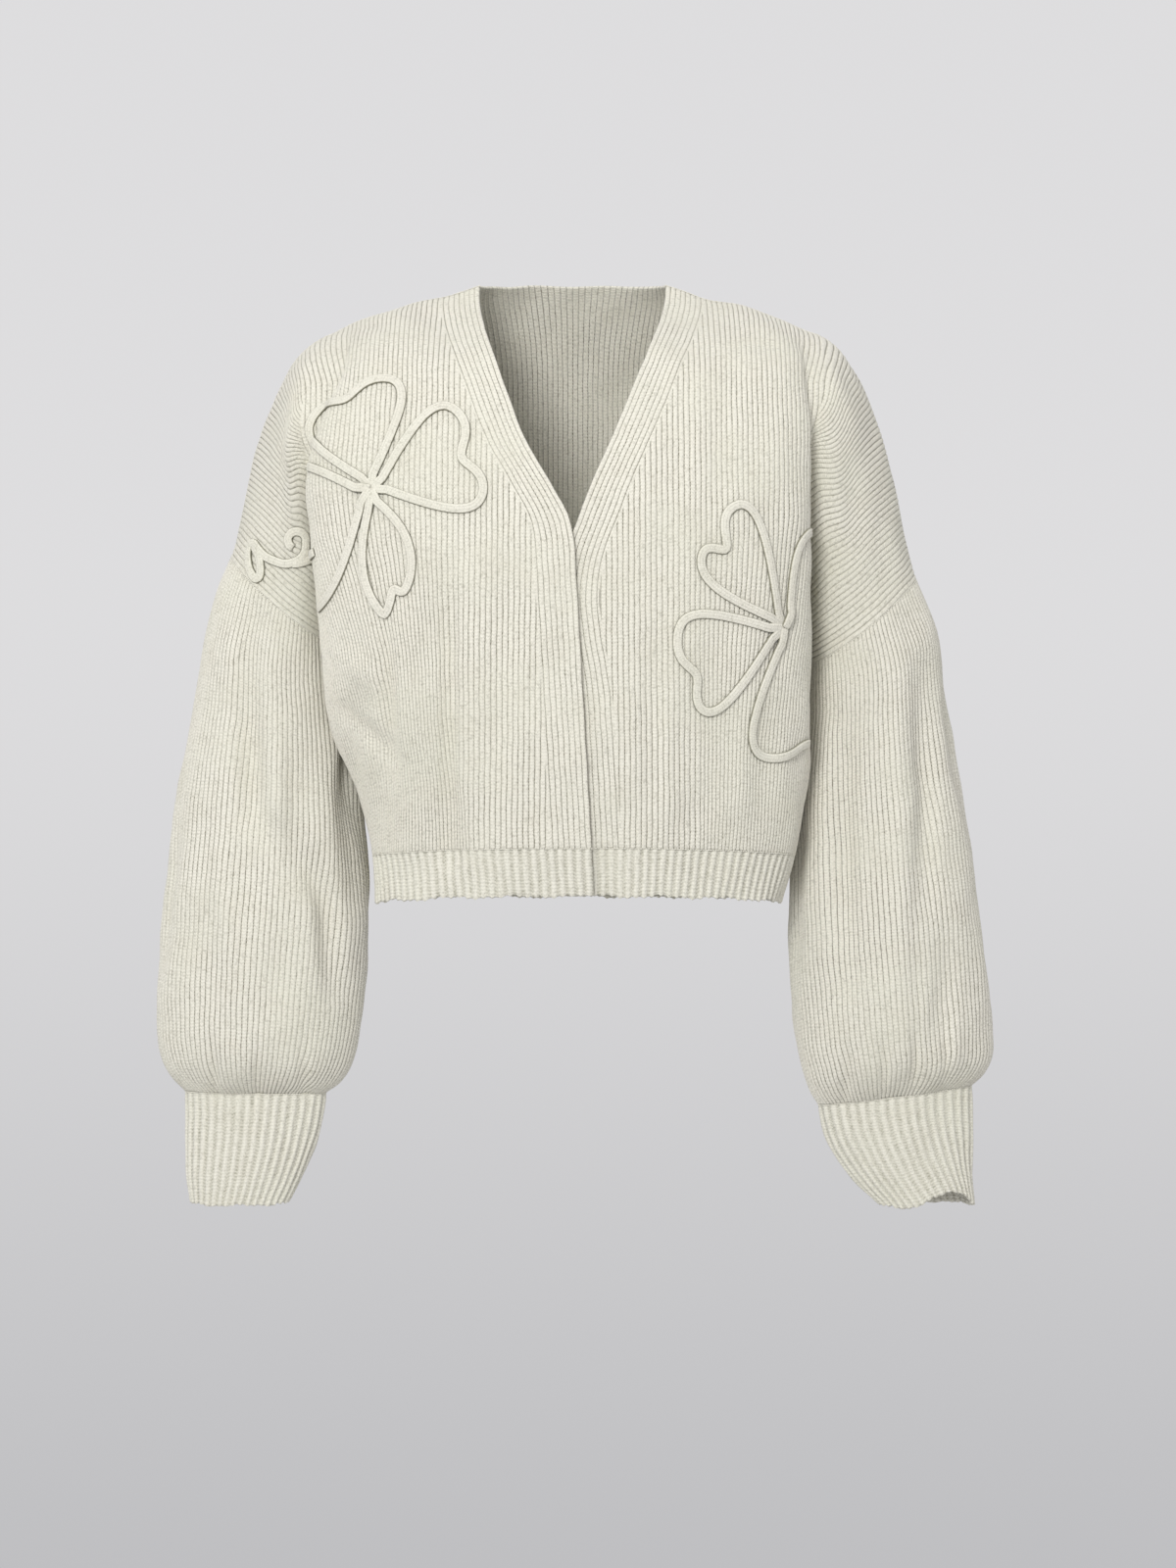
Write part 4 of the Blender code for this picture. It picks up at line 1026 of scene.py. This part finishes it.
def seamLines():
    # each seam's points, and the piece it lies on
    lastRow = len(sleeve["deep"]) - 1.0
    across, around = np.linspace(0, 2, 150), np.linspace(0, 360, 150)
    sideZ = np.linspace(hemTop, crotch, 60)
    for side in sides:
        front = "front_" + side
        for piece, points in (
            (front, panelPoints(side, False, np.linspace(0, 2, 90), shoulder)),
            (front, capPoints(side, False, shoulder, np.linspace(0, 1, 60))),
            (front, bodyPoints(side, False, 2.0, sideZ)),
            (front, bodyPoints(side, False, across, hemTop)),
            ("back", bodyPoints(side, True, across, hemTop)),
            ("sleeve_" + side, ringPoints(side, np.zeros(len(around)), around)),
            ("cuff_" + side, ringPoints(side, np.full(len(around), lastRow), around)),
        ):
            yield piece, points * mirrored(side)


def stitchTree():
    group = bpy.data.node_groups.new("linkingStitches", "GeometryNodeTree")
    sockets = {}
    for name, kind in (("Seams", "Geometry"), ("Spacing", "Float"), ("Long", "Float"), ("Wide", "Float"),
                       ("High", "Float"), ("Uneven", "Float"), ("Seed", "Int"), ("Finish", "Material")):
        made = group.interface.new_socket(name, in_out="INPUT", socket_type="NodeSocket" + kind)
        sockets[name] = made.identifier
    group.interface.new_socket("Stitches", in_out="OUTPUT", socket_type="NodeSocketGeometry")

    nodes = Nodes(group)
    given = nodes.node("NodeGroupInput")
    seams, spacing, long, wide, high, uneven, seed, finish = (given.value(name) for name in sockets)

    def add(kind, settings=None, output=0, **inputs):
        return nodes.node(kind, settings, inputs).value(output)

    curves = add("GeometryNodeMeshToCurve", Mesh=seams)
    points = add("GeometryNodeResampleCurve", {"mode": "LENGTH"}, Curve=curves, Length=spacing)
    ball = add("GeometryNodeMeshUVSphere", Segments=8, Rings=5, Radius=0.5)
    size = add("ShaderNodeCombineXYZ", X=long, Y=wide, Z=high)
    bead = add("GeometryNodeTransform", Geometry=ball, Scale=size)
    bead = add("GeometryNodeSetShadeSmooth", Geometry=bead)
    along = add("FunctionNodeAlignRotationToVector", {"axis": "X"}, Vector=add("GeometryNodeInputTangent"))
    up = add("GeometryNodeInputNamedAttribute", {"data_type": "FLOAT_VECTOR"}, Name="up")
    turn = add("FunctionNodeAlignRotationToVector", {"axis": "Z", "pivot_axis": "X"},
               Rotation=along, Vector=up)
    luck = add("FunctionNodeRandomValue", {"data_type": "FLOAT"}, "Value_001",
               Min_001=1.0 - uneven, Max_001=1.0 + uneven, Seed=seed)
    beads = add("GeometryNodeInstanceOnPoints", Points=points, Instance=bead, Rotation=turn, Scale=luck)
    beads = add("GeometryNodeRealizeInstances", Geometry=beads)
    beads = add("GeometryNodeSetMaterial", Geometry=beads, Material=finish)
    nodes.node("NodeGroupOutput", None, [beads])
    return group, sockets


def stitchSeams(name, material):
    surfaces = {}
    points, ups, edges = [], [], []
    for node, line in seamLines():
        if node not in surfaces:
            surfaces[node] = sheets[node].surface()
        start = len(points)
        for spot in line:
            near, normal, _, _ = surfaces[node].find_nearest(Vector(spot))
            points.append(near - normal * (stitch["sunk"] * mm))
            ups.append(normal)
        edges += [(n, n + 1) for n in range(start, len(points) - 1)]
    path = bpy.data.meshes.new(name + "_path")
    path.from_pydata(points, edges, [])
    path.attributes.new("up", "FLOAT_VECTOR", "POINT").data.foreach_set("vector", np.array(ups).reshape(-1))
    obj = linked(name, path)
    modifier = obj.modifiers.new("stitches", "NODES")
    modifier.node_group, sockets = stitchTree()
    for size in ("spacing", "long", "wide", "high"):
        modifier[sockets[size.capitalize()]] = stitch[size] * mm
    modifier[sockets["Uneven"]] = stitch["uneven"]
    modifier[sockets["Seed"]] = stitch["seed"]
    modifier[sockets["Finish"]] = material
    ready = obj.evaluated_get(bpy.context.evaluated_depsgraph_get())
    mesh = bpy.data.meshes.new_from_object(ready)
    obj.modifiers.remove(modifier)
    obj.data = mesh
    bpy.data.meshes.remove(path)
    countTriangles(obj)
    return obj


def linkMaterial():
    thread = Finish("linkThread")
    fibre = thread.noise(1600.0)
    return thread.done({
        "Base Color": thread.mixColor(fibre.step(0.3, 0.8), (0.78, 0.76, 0.67, 1), (0.62, 0.60, 0.51, 1)),
        "Normal": thread.bump(0.4, 0.0003, fibre), "Roughness": fibre * 0.12 + 0.86, "Sheen Weight": 0.15,
    })


piece = stitchSeams("linking_stitches", linkMaterial())
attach(piece, "root")
print("seams linked")


# Applied cord: flat knitted cord in two flowers and a curl, laid on the fronts

petalFoot = 5.6        # petals start this far out from the flower's middle
petalOpen = 6.4        # nearer than this to its foot, a cord runs straight to the middle
foldMargin = 0.8       # cord goes under the armhole fold here
leastRun = 16          # shorter runs of points are left out

# Seen from the front. Headings are in degrees from the outward direction, turning up, and a
# petal spreads so far below and above its heading. A high blunt makes a broad heart.
petalTable = ("heading", "below", "above", "reach", "blunt", "tilt", "notch", "notchAt", "notchWide")
flowers = {
    "right": {"x": 150, "z": -170, "foldFrom": -142, "behind": 4, "petals": (
        (73, 41, 42, 76, 8, 0.13, 0.11, 0.02, 0.26),
        (160, 42, 41, 81, 8, -0.03, 0.18, 0.02, 0.28),
        (264, 42, 20, 89, 1.1, 0.00, 0.13, -0.17, 0.09),
        (-23, 52, 51, 107, 8, 0.00, 0.12, 0.00, 0.24),
    )},
    "left": {"x": 159, "z": -273, "foldFrom": -100, "behind": None, "petals": (
        (127, 29, 30, 84, 6, -0.20, 0.20, 0.00, 0.22),
        (203, 39, 36, 79, 8, 0.10, 0.13, 0.18, 0.28),
        (282, 35, 36, 91, 8, -0.05, 0.08, 0.00, 0.24),
        (38, 48, 49, 77, 8, 0.00, 0.12, 0.00, 0.24),
    )},
}
curlRing = {"x": 210.5, "z": -204, "radius": 6.6, "from": -66, "to": 200}
curlTail = {           # it ends in a narrow leaf that closes on itself
    "x": (204, 204.5, 209, 218, 227, 235, 240, 244, 247.5, 249, 249, 247, 243, 239.5, 239, 241, 245),
    "z": (-207, -213, -219, -222, -220, -216, -211, -206, -206, -211, -219, -227, -233, -231, -223,
          -214, -207),
}
curlStrand = {"x": (215, 209, 202, 195), "z": (-222, -221.5, -219, -215)}   # and reaches into the fold
curlPoints = {"ring": 40, "tail": 70, "strand": 24}


def petalOutline(flower, petal):
    heading = math.radians(petal["heading"])
    middle = np.array([flower["x"], flower["z"]])
    foot = middle + petalFoot * np.array([math.cos(heading), math.sin(heading)])
    phi = np.sin(np.linspace(-0.5 * math.pi, 0.5 * math.pi, fineSteps["petal"]))
    heart = np.sqrt(np.maximum(0.0, 1 - np.abs(phi) ** petal["blunt"]))
    reach = petal["reach"] * heart * (1 + petal["tilt"] * phi)
    reach *= 1 - petal["notch"] * np.exp(-((phi - petal["notchAt"]) / petal["notchWide"]) ** 2)
    a = heading + np.radians(np.where(phi > 0, petal["above"], petal["below"])) * phi
    points = foot + reach[:, None] * np.stack([np.cos(a), np.sin(a)], axis=1)
    return np.concatenate([[middle], points[reach > petalOpen], [middle]]) * mm


def lineThrough(table, count):
    given = range(len(table["x"]))
    places = np.linspace(0, given[-1], count)
    return np.stack([curve(given, table["x"], places), curve(given, table["z"], places)], axis=1)


def curlOutline():
    a = np.radians(np.linspace(curlRing["from"], curlRing["to"], curlPoints["ring"]))
    ring = np.stack([curlRing["x"] + curlRing["radius"] * np.cos(a),
                     curlRing["z"] + curlRing["radius"] * np.sin(a)], axis=1)
    return np.concatenate([ring, lineThrough(curlTail, curlPoints["tail"])]) * mm


def resampled(line, step):
    along = alongRows(line[None])[0]
    count = max(2, int(round(along[-1] / step)) + 1)
    where = np.linspace(0, along[-1], count)
    return np.stack([np.interp(where, along, line[:, k]) for k in range(line.shape[1])], axis=1)


def laidOn(tree, outline, side, limit=None):
    # seen from the front, dropped onto the cloth, as the runs short of the armhole fold
    runs = [[]]
    for x, z in outline:
        hit = None
        if limit is None or x <= limit(z):
            hit = tree.ray_cast(Vector((sides[side] * x, -1.0, z)), Vector((0, 1, 0)))[0]
        if hit is None:
            runs.append([])
        else:
            runs[-1].append(hit)
    return [np.array(run) for run in runs if len(run) > leastRun]


cordTurn = np.linspace(0, np.pi, cord["over"])
cordAcross = np.cos(cordTurn)
cordGrooves = np.exp(-(np.abs(cordAcross) - cord["wale"]) ** 2 / cord["grooveWide"])
cordLift = np.sin(cordTurn) ** cord["boxy"] * (1 - cord["groove"] * cordGrooves)


def cordRing(tree, point, tangent, stand, end):
    # points round the cord's back and its two under ones, standing on the cloth beside it
    _, normal, _, _ = tree.find_nearest(Vector(point))
    way = Vector(tangent).cross(normal).normalized()
    half = cord["wide"] / 2 * mm * (1 - cord["endNarrow"] + cord["endNarrow"] * end)
    right, left = (tree.find_nearest(Vector(point) + way * (half * s)) for s in (1, -1))
    up = (left[1] + right[1] + normal).normalized()
    ring = []
    for s, h in zip(cordAcross, cordLift):
        near, nearNormal, _, _ = tree.find_nearest(right[0].lerp(left[0], 0.5 - s / 2))
        base = near + nearNormal * (cord["clear"] * mm) + up * (stand * mm)
        ring.append(base + up * (cord["high"] * mm * h * end))
    for share in (0.25, 0.75):
        ring.append(left[0].lerp(right[0], share) + up * ((cord["clear"] * 0.5 + stand) * mm))
    return ring


def layCord(name, tree, line, middle, layer=0, node=None):
    line = resampled(line, cord["step"] * mm)
    fromMiddle = np.linalg.norm(line[:, (0, 2)] - np.array(middle), axis=1) / mm
    stand = cord["layer"] * layer * (1 - ramp(fromMiddle, *cord["layerOver"]))
    courses = alongRows(line[None])[0] / (cord["course"] * mm)
    count = len(line)
    points = []
    for n, (point, tangent) in enumerate(zip(line, np.gradient(line, axis=0))):
        end = min(1.0, (min(n, count - 1 - n) + 0.5) / 2.0) ** 0.5
        points += cordRing(tree, point, tangent, stand[n], end)
    wide = cord["over"] + 2
    wales = [(1 - s) / 2 * cord["wales"] for s in cordAcross]
    wales += [cord["wales"] * under for under in (1.25, 1.75, 2.0)]
    faces, uvs = [], []
    for n in range(count - 1):
        for i in range(wide):
            j = (i + 1) % wide
            faces.append([n * wide + i, n * wide + j, (n + 1) * wide + j, (n + 1) * wide + i])
            a, b = courses[n], courses[n + 1]
            uvs.append([(wales[i], a), (wales[i + 1], a), (wales[i + 1], b), (wales[i], b)])
    for n, order in ((0, -1), (count - 1, 1)):
        turn = range(wide)[::order]
        faces.append([n * wide + i for i in turn])
        uvs.append([(wales[i], courses[n]) for i in turn])
    obj = meshObject(name, np.array(points), faces, uvs, cordKnit)
    mesh = bmesh.new()
    mesh.from_mesh(obj.data)
    bmesh.ops.recalc_face_normals(mesh, faces=mesh.faces)
    mesh.to_mesh(obj.data)
    mesh.free()
    if node:
        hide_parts(node)
    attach(obj, "root")


for side, flower in flowers.items():
    tree = sheets["front_" + side].surface()
    middle = np.array([sides[side] * flower["x"], flower["z"]]) * mm

    for number, sizes in enumerate(flower["petals"], 1):
        def limit(z):
            if z > flower["foldFrom"] * mm and number != flower["behind"]:
                return math.inf
            return (atHeight(body, side, z) - foldMargin) * mm

        runs = laidOn(tree, petalOutline(flower, dict(zip(petalTable, sizes))), side, limit)
        for run, letter in zip(runs, "ab"):
            node = f"petal_{side}_{number}" + (letter if len(runs) > 1 else "")
            layCord(node + "_cord", tree, run, middle, number - 1, node)
tree = sheets["front_right"].surface()
curl = laidOn(tree, curlOutline(), "right")[0]
layCord("curl_right_cord", tree, curl, curl[0][[0, 2]], node="curl_right")
strand = laidOn(tree, lineThrough(curlStrand, curlPoints["strand"]) * mm, "right")[0]
layCord("curl_right_strand", tree, strand, strand[0][[0, 2]])
print("cords laid")


# Camera and light

view = {"scale": 0.766, "centreX": 584, "neckY": 290, "away": 2600}
photoSize = (1200, 1600)
camera = linked("camera", bpy.data.cameras.new("camera"))
camera.data.sensor_width = 36
camera.data.lens = 36 * view["away"] / (photoSize[1] * view["scale"])
camera.location = ((photoSize[0] / 2 - view["centreX"]) * view["scale"] * mm, -view["away"] * mm,
                   -(photoSize[1] / 2 - view["neckY"]) * view["scale"] * mm)
camera.rotation_euler = (math.radians(90), 0, 0)
bpy.context.scene.camera = camera

backdrop = {"low": (0.50, 0.50, 0.515, 1), "high": (0.73, 0.725, 0.735, 1), "from": -0.30, "to": 0.08}
world = bpy.data.worlds.new("studio")
bpy.context.scene.world = world
world.use_nodes = True
studio = Nodes(world.node_tree)
around = studio.node("ShaderNodeTexCoord").value("Generated")
up = studio.node("ShaderNodeSeparateXYZ", None, [around]).value("Z")
tone = studio.mixColor(up.step(backdrop["from"], backdrop["to"]), backdrop["low"], backdrop["high"])
studio.feed(world.node_tree.nodes["Background"], {"Color": tone})
bpy.context.scene.view_settings.view_transform = "Standard"


def softLight(name, place, aim, size, power):
    light = bpy.data.lights.new(name, "AREA")
    light.size = size
    light.energy = power
    obj = linked(name, light)
    obj.location = place
    obj.rotation_euler = (Vector(aim) - Vector(place)).to_track_quat("-Z", "Y").to_euler()


softLight("keyLight", (-0.75, -2.55, 0.6), (0, 0, -0.35), 0.8, 47)
softLight("fillLight", (1.9, -1.2, 0.2), (0, 0, -0.4), 1.6, 2.5)
softLight("topLight", (0.2, 0.4, 1.7), (0, 0, -0.3), 1.6, 2.5)
softLight("rearLight", (0.3, 2.4, 0.6), (0, 0, -0.35), 1.6, 8)

bpy.ops.mesh.primitive_circle_add(vertices=96, radius=1.25, fill_type="NGON", location=(0, 0, 0))
floor = bpy.context.object
floor.name = "floor"
floorLevel = -1.3
for vertex in floor.data.vertices:
    vertex.co.z = floorLevel
pale = Finish("paleFloor")
grain = pale.node("ShaderNodeTexNoise", None, {"Scale": 3.0}).value()
floor.data.materials.append(pale.done({
    "Base Color": pale.mixColor(grain, (0.60, 0.60, 0.61, 1), (0.64, 0.64, 0.64, 1)), "Roughness": 0.8}))
